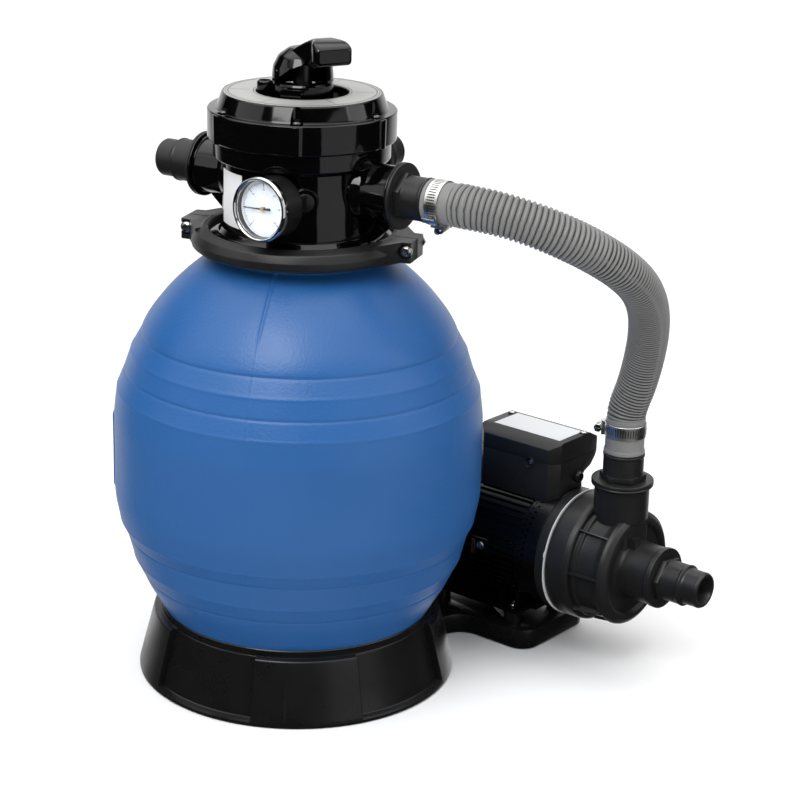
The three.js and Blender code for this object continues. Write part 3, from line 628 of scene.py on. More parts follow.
def tank():
    outside = [
        (0, 24), (88, 32, 12), (106, 41, 8), (118.5, 52, 8), (126, 63, 6), (135, 80, 6), (141.7, 90, 4),
        (147.2, 102, 8), (155.0, 118, 20), (161.2, 142, 8), (167.0, 155, 20), (171.4, 178, 3), (171.5, 216),
        (171.4, 255, 3), (168.1, 280.5, 26), (161.4, 297, 8), (155.2, 315.5, 22), (146.2, 331.5, 8),
        (143, 340, 12), (136.6, 350, 8), (129, 360, 8), (121, 370, 8), (111, 380, 8), (100, 390, 8),
        (88, 399, 6), (78.5, 406, 3), (78, 414.5), (85.8, 414.5), (85.8, 420), (66, 420), (66, 402),
        (124, 359), (157, 296), (167, 254), (167, 179), (150, 119), (112, 53), (84, 37), (0, 29),
    ]
    profile = rounded(outside, 5)
    shell = [p[1] for p in profile].index(414.5)
    low = next(k for k, p in enumerate(profile) if p[1] > 60)
    high = next(k for k, p in enumerate(profile) if p[1] > 398)
    skin = softened(profile[1:shell])
    profile = profile[:low] + skin + profile[high:]
    shell += low + len(skin) - high
    turns = {float(a) for a in np.arange(0, 360, 2.0)}
    turns |= {SEAMS[0] + x for x in (-1.7, -1.2, -0.8, -0.5, -0.25, 0, 0.25, 0.5, 0.8, 1.2, 1.7)}
    turns |= {SEAMS[1] + x for x in (-1.2, -0.8, -0.5, -0.3, 0.3, 0.5, 0.8, 1.2)}
    turns |= {MARK_TURN + x for x in (-1.6, -1.3, 1.3, 1.6)}
    turns = sorted(turns)
    rows = []
    for k, (r, z) in enumerate(profile):
        reliefs = [tank_relief(t, z) if 1 < k < shell else 0 for t in turns]
        rows.append(
            [(*polar(r + lift, t), z) for t, lift in zip(turns, reliefs)] if r > 1e-6 else [(0, 0, z)]
        )
    part("tank_shell", skinned(rows), SET, BLUE, nodes="tank", angle=50)


tank()

# ---------- base ----------

RAISED = [(295.7, 336.0), (197.0, 252.4), (18.7, 60.0), (116.0, 156.0)]


def skirt():
    """A cone wall with a lip at the tank, and blocks that stand proud of it between the recesses."""
    walls = [
        # height, radius in a recess, radius on a raised stretch
        (0, 150.0, 150.0), (0.8, 150.6, 150.6), (2.8, 150.6, 150.6), (3.6, 150.2, 150.3),
        (4.6, 149.6, 150.2), (5.0, 144.2, 150.1),
        (5.4, 143.6, 150.0), (6.4, 143.2, 149.7), (30, 137.2, 143.7), (52, 131.7, 138.1),
        (57.6, 130.4, 136.6), (58.8, 130.1, 136.2),
        (59.5, 129.8, 135.6), (59.9, 129.5, 134.6), (60.0, 129.3, 130.2), (60.6, 129.2, 129.2),
        (66.2, 129.1, 129.1), (66.9, 128.6, 128.6),
    ]
    inner = [(63, 127.0), (53, 119.8), (48, 119.6), (55, 126.0), (6, 139.3), (0, 140.3)]
    edges = {float(a) for a in range(0, 360, 3)}
    for a, b in RAISED:
        edges = {t for t in edges if min(abs(t - a), abs(t - b)) > 1.0}
        edges |= {a - 0.35, a - 0.05, a + 0.05, a + 0.3, b - 0.3, b - 0.05, b + 0.05, b + 0.35}
    edges |= {307.1, 307.5, 307.8, 308.2}
    turns = sorted(edges)

    def radius(turn, z, low, high):
        if not any(a - 0.01 < turn < b + 0.01 for a, b in RAISED):
            return low
        on_edge = any(min(abs(turn - a), abs(turn - b)) < 0.06 for a, b in RAISED)
        worn = 0.4 if on_edge and z > 5 else 0.0
        mark = 0.5 if 307.3 < turn < 308.0 and 4.5 < z < 50 else 0.0
        return high - min(worn, high - low) + mark

    levels = walls + [(z, r, r) for z, r in inner]
    rows = [[(*polar(radius(t, z, low, high), t), z) for t in turns] for z, low, high in levels]
    return skinned(rows, closed=True)


def arc(cx, cy, r, start, end, n=10):
    points = [polar(r, start + (end - start) * k / n) for k in range(n + 1)]
    return [(cx + x, cy + y) for x, y in points]


def curve(a, b, c, n):
    """Points after the first on a quadratic curve from a to c, pulled towards b."""
    spans = [k / n for k in range(1, n + 1)]
    return [
        tuple(p * (1 - t) ** 2 + 2 * q * t * (1 - t) + r * t**2 for p, q, r in zip(a, b, c))
        for t in spans
    ]


def base():
    bend = curve((71.4, 135.1), (75, 158), (93.4, 160), 12)
    outline = [polar(141, 62)] + bend + arc(
        138, 178, 18, -90, 0,
    ) + arc(138, 247, 18, 0, 90) + arc(3, 247, 18, 90, 180)
    outline += arc(0, 0, 141, 96.1, 62, 16)[:-1]
    deck = prism(outline, 0, 20)
    holes = [moved(rod(2.8, 8, 40, 16), at(x, y)) for x, y in FEET]
    part("base_deck", deck, SET, BASE, cut=holes, bevel=2.2)
    for k, (x, y) in enumerate(FEET):
        part(f"base_post_{k + 1}", moved(rod(9, 15, 32.7, 32, 1.2), at(x, y)), SET, BASE, cut=[holes[k]])
    part("base_skirt", skirt(), SET, BASE, nodes="base", angle=24)


base()

# ---------- neck clamp ----------


def clamp_half(name, node, side):
    """Half of the ring with its two lugs; side is 1 behind and -1 in front."""
    section = rounded(
        [
            (79.2, 410.8), (95, 411.2, 1.5), (99.2, 414.4, 2.5), (99.4, 420.5, 3), (96.5, 427.5, 3),
            (88.5, 431.2, 1.2),
            (84.2, 430, 1), (84, 426.4), (87, 426.4), (87, 414.2), (79.2, 414.2),
        ], 5, True,
    )
    span = (0.35, 179.65) if side > 0 else (180.35, 359.65)
    wing = [
        (88, 0.6), (110.5, 0.6), (111, 1.2), (111, 17), (109.5, 18.3), (102, 19), (95, 30), (84, 47),
        (80, 40), (86, 18),
    ]
    wings = [prism([(flip * x, side * y) for x, y in wing], 411.4, 430.2) for flip in (1, -1)]
    seat = (18, 30) if side > 0 else (-30, -14.9)
    holes = []
    for x in (-CLAMP_BOLT_X, CLAMP_BOLT_X):
        holes.append(moved(rod(3.4, -60, 60, 24), at(x, 0, CLAMP_HEIGHT) @ ALONG_Y))
        holes.append(moved(rod(6.6, *seat, 32), at(x, 0, CLAMP_HEIGHT) @ ALONG_Y))
    part(name, lathe(section, 130, span), CLAMP, CLAMP_BLACK, nodes=node)
    for k, w in enumerate(wings):
        part(f"{name}_lug_{k + 1}", w, CLAMP, CLAMP_BLACK, cut=holes, bevel=1.3)


def cross_screw(name, place, shank, head_r, head_h, node, depth=1.2, finish=ZINC):
    """A pan head at Z = 0 with a cross recess and its shank below."""
    neck, crown = head_r * 0.5, head_r * 0.35
    corners = [(0, -shank), (neck, -shank), (neck, 0), (head_r, 0, 0.3)]
    corners += [(head_r, head_h * 0.45, crown), (head_r * 0.55, head_h, crown), (0, head_h)]
    slit = box((-head_r * 0.62, head_r * 0.62), (-head_r * 0.12, head_r * 0.12), (head_h - depth, head_h + 2))
    cross = [moved(slit, spin(turn)) for turn in (27, 117)]
    part(name, turned(corners, 40, 5), place, finish, cut=cross, nodes=node)


def neck_clamp():
    clamp_half("clamp_half_front", "clamp_front", -1)
    clamp_half("clamp_half_rear", "clamp_rear", 1)
    for side, x in (("left", -CLAMP_BOLT_X), ("right", CLAMP_BOLT_X)):
        spot = CLAMP @ at(x, -15.3, CLAMP_HEIGHT) @ spin(90, "X")
        cross_screw(f"clamp_screw_{side}", spot, 39.5, 5.9, 4.0, f"clamp_bolt_{side}")
        nut = ring(3.6, 6.4, 18.3, 23, 6, 0)
        part(
            f"clamp_hexnut_{side}", nut, CLAMP @ at(x, 0, CLAMP_HEIGHT) @ ALONG_Y, ZINC,
            nodes=f"clamp_nut_{side}", bevel=0.4,
        )


neck_clamp()

# ---------- hose adapters ----------


def adapter(name, place, node, disc=False):
    grooves = []
    for k in range(9):
        z = 7.6 + k * 1.75
        grooves += [(19.4, z), (19.32, z + 0.5), (19.32, z + 0.75), (19.4, z + 1.25)]
    tip = []
    for k in range(7):
        z = 28.6 + k * 1.9
        tip += [(17.3, z), (17.22, z + 0.5), (17.22, z + 0.8), (17.3, z + 1.3)]
    profile = [
        (13.3, -14), (15.6, -14), (15.6, 0.3), (19.4, 0.3, 0.3), *grooves, (19.5, 23.4), (20.0, 24.0, 0.5),
        (20.0, 25.6, 0.8), (17.7, 26.8, 0.6), (17.3, 28), *tip, (17.4, 42.2, 0.8), (16.2, 44.3, 0.5),
        (15.9, 44.6, 0.3), (13.6, 44.6, 0.4), (13.3, 44.2),
    ]
    part(name, turned(profile, 96, 3), place, NOZZLE, nodes=node, angle=40)
    nut = [polar(22.6, 60 * k + 8) for k in range(6)]
    part(name + "_hex", prism(nut, 0.3, 5.9), place, NOZZLE, cut=[rod(15.8, -1, 8, 48)], bevel=0.8)
    if disc:
        rim = [(15.7, -2.2), (29.8, -2.2, 0.8), (29.8, 0.35, 0.9), (28.6, 0.5, 0.4), (15.7, 0.4)]
        part(name + "_flange", turned(rim), place, NOZZLE)


for node, turn in (("inlet_adapter", 0), ("waste_adapter", 90), ("return_adapter", 180)):
    adapter(
        node.replace("_adapter", "_nozzle"), VALVE @ outwards(turn, PORT_HEIGHT) @ at(z=108.1), node, True,
    )
adapter("suction_nozzle", PUMP @ at(277.6) @ ALONG_X @ spin(14), "suction_adapter")
adapter("discharge_nozzle", PUMP @ at(OUTLET_X, 0, OUTLET_TOP) @ spin(20), "discharge_adapter")

# ---------- valve ----------

GAUGE = VALVE @ at(23.3, -102.5, 469) @ spin(-3.6) @ spin(87.4, "X")
GAUGE_IN_VALVE = VALVE.inverted() @ GAUGE


def valve_body():
    outline = [
        (60, 398), (65.5, 398), (65.5, 420.4), (85.8, 420.4, 0.8), (85.8, 426, 1.2), (75, 427, 2.5),
        (71.4, 431.5, 2.5), (71, 440), (71, 492.5, 2.2), (73.2, 495, 1.2), (79, 495.4, 1.4), (80, 497, 1.4),
        (80, 511.6, 0.6), (79.4, 512.5), (66, 512.5), (66, 488), (12, 488), (12, 482), (60, 482),
    ]
    tubes, bores = [], []
    for turn in (0, 90, 180):
        way = outwards(turn, PORT_HEIGHT)
        neck = [
            (0, 62), (28.5, 62), (28.5, 69.5, 6), (25.5, 76, 8), (25.5, 102.3, 0.8), (26.4, 103.4, 0.3),
            (29.8, 103.4, 0.8), (29.8, 105.6, 0.8), (0, 105.6),
        ]
        tubes.append(moved(turned(neck, 96, 5), way))
        bores.append(moved(rod(16.4, 52, 110, 48), way))
        web = [(68, 429), (68, 452), (98, 452), (98, 446), (80, 430)]
        tubes.append(moved(plate(web, 5), spin(turn)))
    bosses = [
        moved(
            turned([(0, -52), (13.5, -52), (13, -38, 2), (9.6, -33, 2), (9.5, -29.8, 0.5), (0, -29.8)], 48),
            GAUGE_IN_VALVE,
        ),
        moved(
            turned([(0, 62), (14.5, 62), (12.2, 71, 2), (11.5, 74, 0.6), (0, 74)], 64),
            outwards(PLUG_TURN, PLUG_HEIGHT),
        ),
    ]
    holes = bores + [
        moved(rod(6.7, -60, -20), GAUGE_IN_VALVE),
        moved(rod(6.7, 50, 80), outwards(PLUG_TURN, PLUG_HEIGHT)),
    ]
    part(
        "valve_housing", turned(outline, 192), VALVE, GLOSS, add=tubes + bosses, cut=holes,
        nodes="valve_body", angle=28,
    )
    plug = [(0, 62), (5.8, 62), (5.8, 74.3), (8.2, 74.3, 0.4), (8.2, 77, 0.8), (0, 78)]
    slit = box((-6, 6), (-0.8, 0.8), (76.4, 80))
    part(
        "plug_cap", turned(plug, 48, 3), VALVE @ outwards(PLUG_TURN, PLUG_HEIGHT), CASE_BLACK, cut=[slit],
        nodes="valve_plug",
    )
    film = lathe([(71.05, 438), (71.3, 438), (71.3, 487), (71.05, 487)], 24, (-134, -104))
    part("maker_sticker", film, VALVE, STICKER, angle=60)


def valve_cover():
    outline = [
        (68, 512.8), (84.2, 512.8, 0.8), (85, 514, 0.8), (85, 538.6, 0.9), (84, 539.5, 0.6),
        (77.4, 539.5, 1.0), (76.6, 541.2, 1.0), (72.4, 552.8, 1.6), (71.2, 554, 0.5), (70.9, 554, 0.2),
        (70.8, 552.8), (41.8, 552.8, 0.4), (41.8, 545), (10.3, 545), (10.3, 536), (38, 536), (46, 546.5),
        (64, 546.5), (68, 536),
    ]
    lobe = [(0, 512.8), (9.8, 512.8, 0.6), (10, 538.6, 0.8), (0, 539.5)]
    lobes = around(6, lambda: moved(turned(lobe, 48), at(76.6)))
    notches = around(6, lambda: moved(rod(5.6, 539.5, 565, 40), at(77)))
    open_side = around(6, lambda: box((77, 95), (-5.6, 5.6), (539.5, 565)))
    part(
        "valve_lid", turned(outline, 192), VALVE, GLOSS, add=lobes, cut=notches + open_side,
        nodes="valve_cover", angle=28,
    )
    for k in range(6):
        spot = VALVE @ spin(60 * k) @ at(77, 0, 539.8)
        cross_screw(f"lid_screw_{k + 1}", spot, 38, 3.9, 2.4, f"cover_screw_{k + 1}", 1.0, DARK_ZINC)
    disc = [
        (42.0, 553.0), (70.5, 553.0), (70.5, 553.9, 0.2), (70.2, 554.1), (42.2, 554.1, 0.1), (42.0, 554.0),
    ]
    part("dial_plate", turned(disc, 160, 2), VALVE, LABEL, nodes="label_ring")
    for k, (a, b) in enumerate(((68.6, 69.0), (66.0, 66.8), (43.6, 44.2))):
        part(f"dial_line_{k + 1}", lathe([(a, 554.1), (b, 554.1), (b, 554.16), (a, 554.16)], 160), VALVE, INK)
    marks = joined(*around(6, lambda: box((47, 64.5), (-0.22, 0.22), (554.08, 554.16)), 30))
    part("dial_divisions", marks, VALVE, INK)


def selector():
    rest = VALVE @ spin(-30)
    stem = [
        (0, 491.6), (64, 491.6), (64, 496, 0.8), (24, 499), (12.5, 499), (8.5, 504, 1), (8.5, 583, 0.6),
        (0, 583),
    ]
    windows = [moved(rod(11, 485, 505, 40), spin(t) @ at(38)) for t in (30, 90)]
    pin_hole = moved(rod(3.3, -30, 30, 24), at(z=PIN_HEIGHT) @ ALONG_Y)
    part(
        "diverter_plate", turned(stem, 96, 3), rest, CASE_BLACK, body="diverter", cut=windows + [pin_hole],
        nodes="diverter",
    )
    pin = moved(rod(3.0, -23.8, 23.8, 32, 0.4), at(z=PIN_HEIGHT) @ ALONG_Y)
    part("lever_pin", pin, rest, ZINC, body="handle", nodes="handle_pin")
    ringed = [
        (0, 545.4), (28.6, 545.4), (28.6, 548, 0.5), (27.4, 549, 0.5), (27.4, 561.4, 0.8),
        (26.4, 563.2, 0.4), (0, 563.2),
    ]
    stub = moved(
        turned([(0, 545.4), (7.3, 545.4), (7.2, 562, 0.9), (5.2, 563.2, 0.4), (4.9, 560.6), (0, 560.4)], 40),
        spin(-119) @ at(33.5),
    )
    pad = moved(box((18, 35), (-9.5, 9.5), (546.4, 559.6)), spin(-44))
    part(
        "selector_ring", turned(ringed), rest, GLOSS, body="selector", add=[stub, pad],
        cut=[rod(9.3, 530, 580, 40)], bevel=0.5,
        nodes="selector_collar",
    )
    dome = [
        (0, 563.6), (27.4, 563.6, 0.5), (27.5, 568, 3), (26.6, 577, 8), (21.8, 586.5, 8), (12.5, 593, 7),
        (0, 595.4),
    ]
    stations = [
        (1, 14.2, 591.4, 570), (8, 13.2, 595.2, 570), (15, 12.2, 598.6, 570), (20, 11.4, 600.9, 571),
        (24, 10.9, 602.6, 573), (27, 10.5, 603.8, 577.5), (30, 10.2, 605.0, 582), (33, 10.0, 606.1, 585.4),
        (36, 9.9, 607.0, 587.4), (39, 10.2, 607.5, 588.4), (42, 11.4, 607.4, 588.6),
        (45, 13.4, 607.0, 588.2), (48, 15.6, 606.5, 587.4), (51, 17.0, 605.9, 586.8),
        (55, 17.4, 604.9, 586.2), (59, 17.2, 603.3, 586.0), (61.2, 16.6, 602.0, 586.8),
        (62.2, 15.6, 600.6, 588.2), (62.5, 14.6, 599.4, 589.6),
    ]
    sections = []
    for u, half, top, low in stations:
        tall = (top - low) / 2
        corner = min(3.2, half * 0.5, tall * 0.5)
        sections.append([(u, x, (top + low) / 2 + z) for x, z in rounded_box(half, tall, corner, 6)])
    hollow = [(-6, 560), (9, 571), (25, 584), (32, 590), (60, 590), (60, 560)]
    near_side = moved(plate(hollow, 20), at(y=-18.5))
    between = box((-4, 60), (-12.5, 12.5), (560, 581))
    tilt_room = box((-12.8, 12.8), (-9.2, 9.2), (560, 586.5))
    inner = [tilt_room, pin_hole, near_side, between]
    part(
        "lever", turned(dome, 128, 6), rest, GLOSS, body="handle", add=[loft(sections)], cut=inner,
        nodes="selector_handle", angle=38,
    )


def spring():
    n, turns = 180, 4.5
    a = np.linspace(0, turns * 2 * math.pi, n)
    line = np.stack([16 * np.cos(a), 16 * np.sin(a), 508.6 + 25.4 * np.arange(n) / (n - 1)], 1)
    side, over = frames(line)
    ringed = np.arange(10) * 2 * math.pi / 10
    sections = [
        c + 1.5 * (np.cos(ringed)[:, None] * p + np.sin(ringed)[:, None] * q)
        for c, p, q in zip(line, side, over)
    ]
    part("lift_spring", loft(sections), VALVE, STEEL, body="selector", nodes="selector_spring")


DIAL_START, DIAL_SWEEP = 229, 270


def figure(number):
    """A number as a thin solid, 2.7 mm high."""
    text = bpy.data.curves.new("digits", "FONT")
    text.body, text.size, text.align_x, text.align_y = str(number), 2.7, "CENTER", "CENTER"
    text.extrude, text.resolution_u = 0.03, 2
    holder = bpy.data.objects.new("digits", text)
    bpy.context.collection.objects.link(holder)
    bpy.context.view_layer.update()
    mesh = bpy.data.meshes.new_from_object(holder.evaluated_get(bpy.context.evaluated_depsgraph_get()))
    shape = ([tuple(v.co) for v in mesh.vertices], [list(f.vertices) for f in mesh.polygons])
    bpy.data.objects.remove(holder)
    bpy.data.meshes.remove(mesh)
    return shape


def gauge():
    case = [
        (0, -29.5), (25.5, -29.5, 1.5), (26.9, -28, 1.2), (26.9, -1.3), (25.2, -1.3), (25.2, -10), (0, -10),
    ]
    stem = [(0, -47), (6.3, -47), (6.3, -29), (0, -29)]
    part(
        "gauge_cup", turned(case, 128), GAUGE, CASE_BLACK, add=[turned(stem, 32, 2)],
        cut=[rod(1.5, -11, 0, 16)], nodes="gauge_case",
    )
    hoop = [
        (27.2, -6), (28.7, -6, 0.4), (28.7, -1.4, 1.2), (27.6, 0.5, 0.9), (26.3, 0.5, 0.6),
        (25.4, -0.9, 0.3), (25.5, -1.2), (27.2, -1.1),
    ]
    part("gauge_hoop", turned(hoop, 128, 5), GAUGE, CHROME, nodes="gauge_bezel")
    part(
        "gauge_face", turned([(1.5, -9.7), (25.0, -9.7), (25.0, -8.9), (1.5, -8.9)], 96, 1), GAUGE, DIAL,
        nodes="gauge_dial",
    )
    marks = []
    for k in range(61):
        long = k % 10 == 0
        inner = 18.6 if long else 20.2 if k % 5 == 0 else 21.2
        half = 0.36 if long else 0.2
        marks.append(
            moved(box((inner, 23.0), (-half, half), (-8.92, -8.84)), spin(DIAL_START - DIAL_SWEEP * k / 60))
        )
    part("gauge_ticks", joined(*marks), GAUGE, INK)
    marks = []
    for k in range(31):
        tick = box((12.4, 13.2 if k % 5 else 14.2), (-0.1, 0.1), (-8.92, -8.84))
        marks.append(moved(tick, spin(DIAL_START - DIAL_SWEEP * k / 30)))
    part("gauge_inner_ticks", joined(*marks), GAUGE, INK)
    for k in range(7):
        spot = at(*polar(16.4, DIAL_START - DIAL_SWEEP * k / 6), -8.87)
        part(f"gauge_figure_{k * 10}", moved(figure(k * 10), spot), GAUGE, INK)
    needle = GAUGE @ spin(184)
    blade = prism(
        [(-9, -1.3), (-9, 1.3), (-1, 0.8), (2, 0.8), (20.5, 0.22), (20.5, -0.22), (2, -0.8), (-1, -0.8)],
        -6.2, -5.6,
    )
    part("pointer", blade, needle, INK, body="needle", nodes="gauge_needle", slot="pump_black")
    part("pointer_hub", rod(1.9, -7.6, -5.0, 32, 0.4), needle, BRASS, body="needle")
    window = part("gauge_window", rod(24.5, -2.7, -1.5, 96), GAUGE, GLASS, nodes="gauge_lens")
    window.visible_shadow = False


valve_body()
valve_cover()
selector()
spring()
gauge()
o_ring = lathe(arc(75.5, CLAMP_HEIGHT, 1.5, 0, 330, 11), 96)
part("neck_o_ring", o_ring, VALVE, RUBBER, nodes="tank_o_ring", slot="rubber")

# ---------- pump, X along its shaft ----------


def motor():
    outline = []
    for k in range(56):
        a = 360 / 56 * k
        for turn, r in ((a - 1.2, 58.2), (a - 0.8, 61.0), (a + 0.8, 61.0), (a + 1.2, 58.2)):
            outline.append(polar(r, turn))
    fins = moved(prism(outline, 26, 143), ALONG_X)
    bells = [
        moved(turned([(0, 18), (60.6, 18, 0.6), (61, 20, 0.6), (61, 26.5, 0.8), (0, 26.5)], 96, 3), ALONG_X),
        moved(
            turned([(0, 142), (60.2, 142, 0.6), (61, 145, 1.5), (61, 167.7, 0.8), (0, 167.7)], 96, 3),
            ALONG_X,
        ),
    ]
    web = box((22, 146), (-24, 24), (-65, -50))
    sole = box((28, 140), (-46, 46), (-65, -61))
    gussets = [
        beam([(side * y, z) for y, z in ((20, -62), (43, -62), (36, -44), (20, -48))], x - 1.6, x + 1.6)
        for x in (34, 52, 114, 134)
        for side in (-1, 1)
    ]
    vents = [moved(box((151.5, 154.2), (-1.1, 1.1), (57, 66)), spin(6 * k, "X")) for k in range(60)]
    vents += [moved(box((147.0, 149.0), (-0.7, 0.7), (57, 66)), spin(6 * k + 3, "X")) for k in range(60)]
    holes = [moved(rod(2.8, -70, -50, 16), at(x, y - PUMP_Y)) for x, y in FEET]
    bore = moved(rod(54, 21.7, 200, 64), ALONG_X)
    part(
        "motor_shell", fins, PUMP, MOTOR, add=[*bells, web, sole, *gussets],
        cut=[joined(*vents), bore, moved(rod(8, 0, 30), ALONG_X), *holes],
        nodes="motor_housing", angle=30,
    )
    for k, (x, y) in enumerate(sorted(FEET, key=lambda foot: foot[::-1])):
        cross_screw(f"foot_fastener_{k + 1}", SET @ at(x, y, 37.3), 22, 4.8, 3.0, f"foot_screw_{k + 1}", 1.2)
    lug = box((93, 113), (-63.5, -58), (-5, 12))
    part("earth_lug", lug, PUMP, MOTOR, bevel=0.8)
    cross_screw("earth_screw", PUMP @ at(105, -63.5, 4) @ spin(90, "X"), 5, 4.2, 2.4, (), 1.0)
    part("earth_tab", box((94.5, 99), (-64.4, -63.6), (-6, 9)), PUMP, COPPER, bevel=0.2)


def fan_cover():
    outline = [
        (0, -12), (55, -12, 3), (60.5, -6, 3), (60.5, 17.7), (57.5, 17.7), (57.5, -5), (54, -9.5),
        (0, -9.5),
    ]
    slots = [moved(box((-20, 0), (-2.5, 2.5), (20, 48)), spin(30 * k, "X")) for k in range(12)]
    part(
        "fan_cowl", moved(turned(outline), ALONG_X), PUMP, CASE_BLACK, cut=[joined(*slots)],
        nodes="fan_cover",
    )


def terminal_box():
    plan = prism([(70, -21.5), (79, -30.5), (157, -30.5), (166, -21.5), (166, 50), (70, 50)], 0, 150)
    seam = 92.3
    walls = [
        (-30.5, 40), (18, 40), (14.5, 68), (18.5, 75), (28.5, 79), (35.5, 86.6), (38, seam), (-30.5, seam),
    ]
    pocket = moved(rod(4.8, 0, 7.5, 40), at(135, -31, 89.5) @ ALONG_Y)
    part(
        "box_body", beam(walls, 70, 166), PUMP, SATIN, keep=[plan],
        cut=[
            box((75, 161), (-21, 30), (83, seam + 1)), moved(rod(61.4, 0, 200, 96), ALONG_X),
            moved(rod(4, 154, 171, 24), at(0, 6, 73) @ ALONG_X), pocket,
        ],
        bevel=0.8, nodes="terminal_box",
    )
    boss = moved(ring(4.9, 6.4, 0, 1.4, 40, 0.3), at(135, -31.5, 89.5) @ ALONG_Y)
    part("box_screw_rim", boss, PUMP, SATIN)
    cross_screw("box_front_screw", PUMP @ at(135, -26.4, 89.0) @ spin(90, "X"), 2, 3.4, 2.0, (), 0.9)
    under = seam + 0.3
    roof = [(-30.5, under), (-30.5, 106.5), (-19, 113), (25.5, 113), (38, 106.5), (38, under)]
    part(
        "box_top", beam(roof, 70, 166), PUMP, SATIN, keep=[plan],
        cut=[box((75, 161), (-21, 30), (under - 1, 109))], bevel=1.0, nodes="box_lid",
    )
    film = prism([(80, -15.5), (159, -15.5), (159, 22.5), (80, 22.5)], 113.02, 113.22)
    part("rating_label", film, PUMP, STICKER)
    for k, (x, y) in enumerate(((75.5, 19.5), (162.5, 19.5))):
        part(f"box_washer_{k + 1}", ring(2.2, 4.3, 112.7, 113.7, 32, 0.3), PUMP @ at(x, y), SATIN)
        cross_screw(f"box_top_screw_{k + 1}", PUMP @ at(x, y, 113.5), 2, 3.0, 1.6, (), 0.8)
    gland = [
        (2, 158), (3.5, 158), (3.5, 166.3), (6, 166.3, 0.4), (6, 169.3, 0.5), (4.5, 171.3, 0.5), (2, 171.3),
    ]
    part(
        "gland_nut", moved(turned(gland, 12, 3), at(0, 6, 73) @ ALONG_X), PUMP, CASE_BLACK,
        nodes="cable_gland", angle=20,
    )


def casing_seal():
    """A white ring whose edge squeezes out unevenly between the casing halves."""
    count, squeezed = 240, (9, 10, 11, 96, 97, 170, 171, 172)
    edge = []
    for k in range(count):
        a = 2 * math.pi * k / count
        edge.append(62.6 + 0.35 * math.sin(5 * a + 1) + (1.3 if k in squeezed else 0))
    bore = [55] * count
    rows = [
        [(*polar(r, 360 * k / count), x) for k, r in enumerate(radii)]
        for radii, x in ((bore, 178.9), (edge, 178.9), (edge, 180.2), (bore, 180.2))
    ]
    part("casing_seal", skinned(rows, closed=True), PUMP @ ALONG_X, FOAM, nodes="casing_gasket")


def wet_end():
    plate_shape = [
        (17.8, 156), (22, 156), (22, 168), (60.8, 168, 0.5), (60.8, 178.6), (8, 178.6), (8, 167.2),
        (17.8, 167.2),
    ]
    part("back_plate", turned(plate_shape, 96, 3), PUMP @ ALONG_X, SATIN, nodes="seal_plate")
    casing_seal()
    outline = [
        (51, 180.5), (61.2, 180.5, 0.8), (61.9, 184, 4), (61.8, 200, 3), (61, 204.4, 1.6),
        (59.6, 205.9, 0.8), (55.6, 206.3, 0.6), (55.4, 207.6, 0.4), (56.8, 208.2, 0.4), (56.8, 211.6, 0.7),
        (54, 212.8, 0.8), (53.8, 230, 4), (55.0, 234, 2), (56.5, 237, 2.5), (55.4, 241, 3.5),
        (50.6, 244.6, 3.2), (46.4, 244.7, 1.4), (44.6, 243.2, 0.8), (43.2, 240.8, 0.8), (33, 240.2, 1),
        (29.6, 241.6, 1.6), (28.4, 245, 2), (28.2, 270.8, 0.6), (29.5, 272.2, 0.6), (29.5, 277.6, 0.7),
        (16.4, 277.6, 0.4), (16.4, 232), (24, 222), (51, 214),
    ]
    top = OUTLET_TOP
    neck = [
        (0, 50), (26.3, 50), (26.2, top - 6.2, 0.6), (29.3, top - 5.4, 0.5), (29.8, top - 4.6, 0.5),
        (28.7, top - 3.6, 0.5), (29.8, top - 2.6, 0.5), (29.6, top, 0.8), (0, top),
    ]
    root = [(min(20.6, x), y) for x, y in (polar(26.3, 5 * k) for k in range(72))]
    add = [moved(turned(neck), at(OUTLET_X)), moved(prism(root, 15, 50.4), at(OUTLET_X))]
    rib = plate([(206, 52), (206, 60.4), (209, 60.2), (236, 57.7), (240.5, 54.5), (240.5, 50)], 1.3)
    add += [moved(rib, spin(turn, "X")) for turn in (-129, -87, -45, 45, 87, 129, 171)]
    add.append(box((240.3, 250.5), (-13.5, -5), (24, 35)))
    inside = moved(lathe([(0, 170), (51, 170), (51, 214), (24, 222), (0, 222)], 64), ALONG_X)
    cut = [inside, moved(rod(16.4, 20, top + 5, 48), at(OUTLET_X))]
    part(
        "volute_case", moved(turned(outline, 128), ALONG_X), PUMP, SATIN, add=add, cut=cut, nodes="volute",
        angle=34,
    )


motor()
fan_cover()
terminal_box()
wet_end()

# The pieces hidden inside keep their solids and get their finishes.
for node, finish in (
    ("standpipe", CASE_BLACK), ("spoked_gasket", RUBBER), ("stator", STEEL), ("rotor_shaft", STEEL),
    ("bearing_rear", ZINC),
    ("bearing_front", ZINC), ("impeller", CASE_BLACK), ("fan", CASE_BLACK), ("shaft_seal", RUBBER),
):
    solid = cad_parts[node]
    solid.data.materials.clear()
    solid.data.materials.append(finish)

# ---------- studio ----------

floor = to_object("floor", ([(-14, -14, 0), (14, -14, 0), (14, 14, 0), (-14, 14, 0)], [[0, 1, 2, 3]]))
floor.data.materials.append(PALE)
floor.location.z = -0.0008
floor.visible_glossy = False


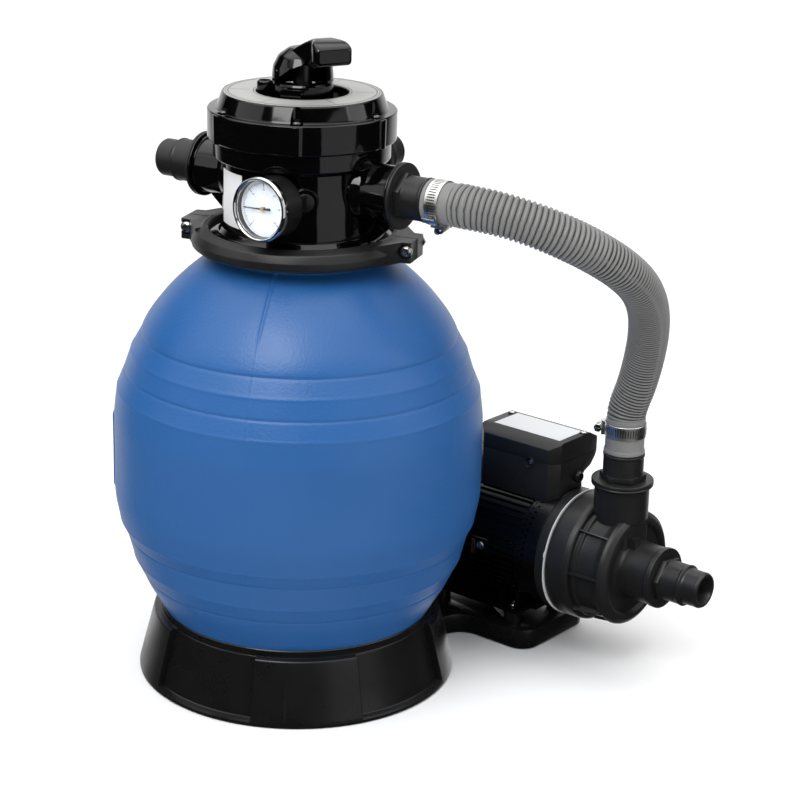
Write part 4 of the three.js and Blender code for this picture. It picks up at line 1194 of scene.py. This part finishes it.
def studio_world():
    """A dark room with a broad light overhead and a pale sweep behind the set."""
    world = bpy.data.worlds.new("studio")
    world.use_nodes = True
    tree = world.node_tree
    coords = tree.nodes.new("ShaderNodeTexCoord")
    total = tree.nodes.new("ShaderNodeMath")
    total.operation = "MAXIMUM"
    areas = [((0, 0, 1), 0.5, 0.8, 0.012, 1.9), ((-0.62, 0.75, -0.22), 0.55, 0.85, 0.0, 1.0)]
    for k, (towards, start, full, low, high) in enumerate(areas):
        facing = tree.nodes.new("ShaderNodeVectorMath")
        facing.operation = "DOT_PRODUCT"
        facing.inputs[1].default_value = towards
        span = tree.nodes.new("ShaderNodeMapRange")
        span.interpolation_type = "SMOOTHSTEP"
        for key, value in (("From Min", start), ("From Max", full), ("To Min", low), ("To Max", high)):
            span.inputs[key].default_value = value
        tree.links.new(coords.outputs["Generated"], facing.inputs[0])
        tree.links.new(facing.outputs["Value"], span.inputs["Value"])
        tree.links.new(span.outputs["Result"], total.inputs[k])
    tree.links.new(total.outputs[0], tree.nodes["Background"].inputs["Strength"])
    tree.nodes["Background"].inputs["Color"].default_value = (1, 1, 1, 1)
    bpy.context.scene.world = world


def softbox(name, azimuth, distance, height, size, radiance):
    """A panel that faces the set, seen only by its light and its reflections."""
    data = bpy.data.lights.new(name, "AREA")
    data.shape, data.size, data.size_y = "RECTANGLE", size[0], size[1]
    data.energy = radiance * math.pi * size[0] * size[1]
    obj = bpy.data.objects.new(name, data)
    turn = math.radians(azimuth)
    place = Vector((distance * math.cos(turn), distance * math.sin(turn), height))
    target = Vector((-0.07, -0.05, min(height, 0.35)))
    obj.location = place
    obj.rotation_euler = (target - place).to_track_quat("-Z", "Y").to_euler()
    obj.visible_camera = False
    bpy.context.collection.objects.link(obj)


studio_world()
softbox("key", -78, 1.3, 1.7, (0.9, 1.0), 6.5)
softbox("right_panel", -7, 1.15, 0.55, (1.0, 1.1), 0.62)
softbox("right_fill", 32, 1.4, 1.0, (0.8, 0.7), 1.8)
softbox("left_panel", -128, 1.4, 0.9, (1.0, 0.9), 1.0)
bpy.context.scene.view_settings.view_transform = "Standard"
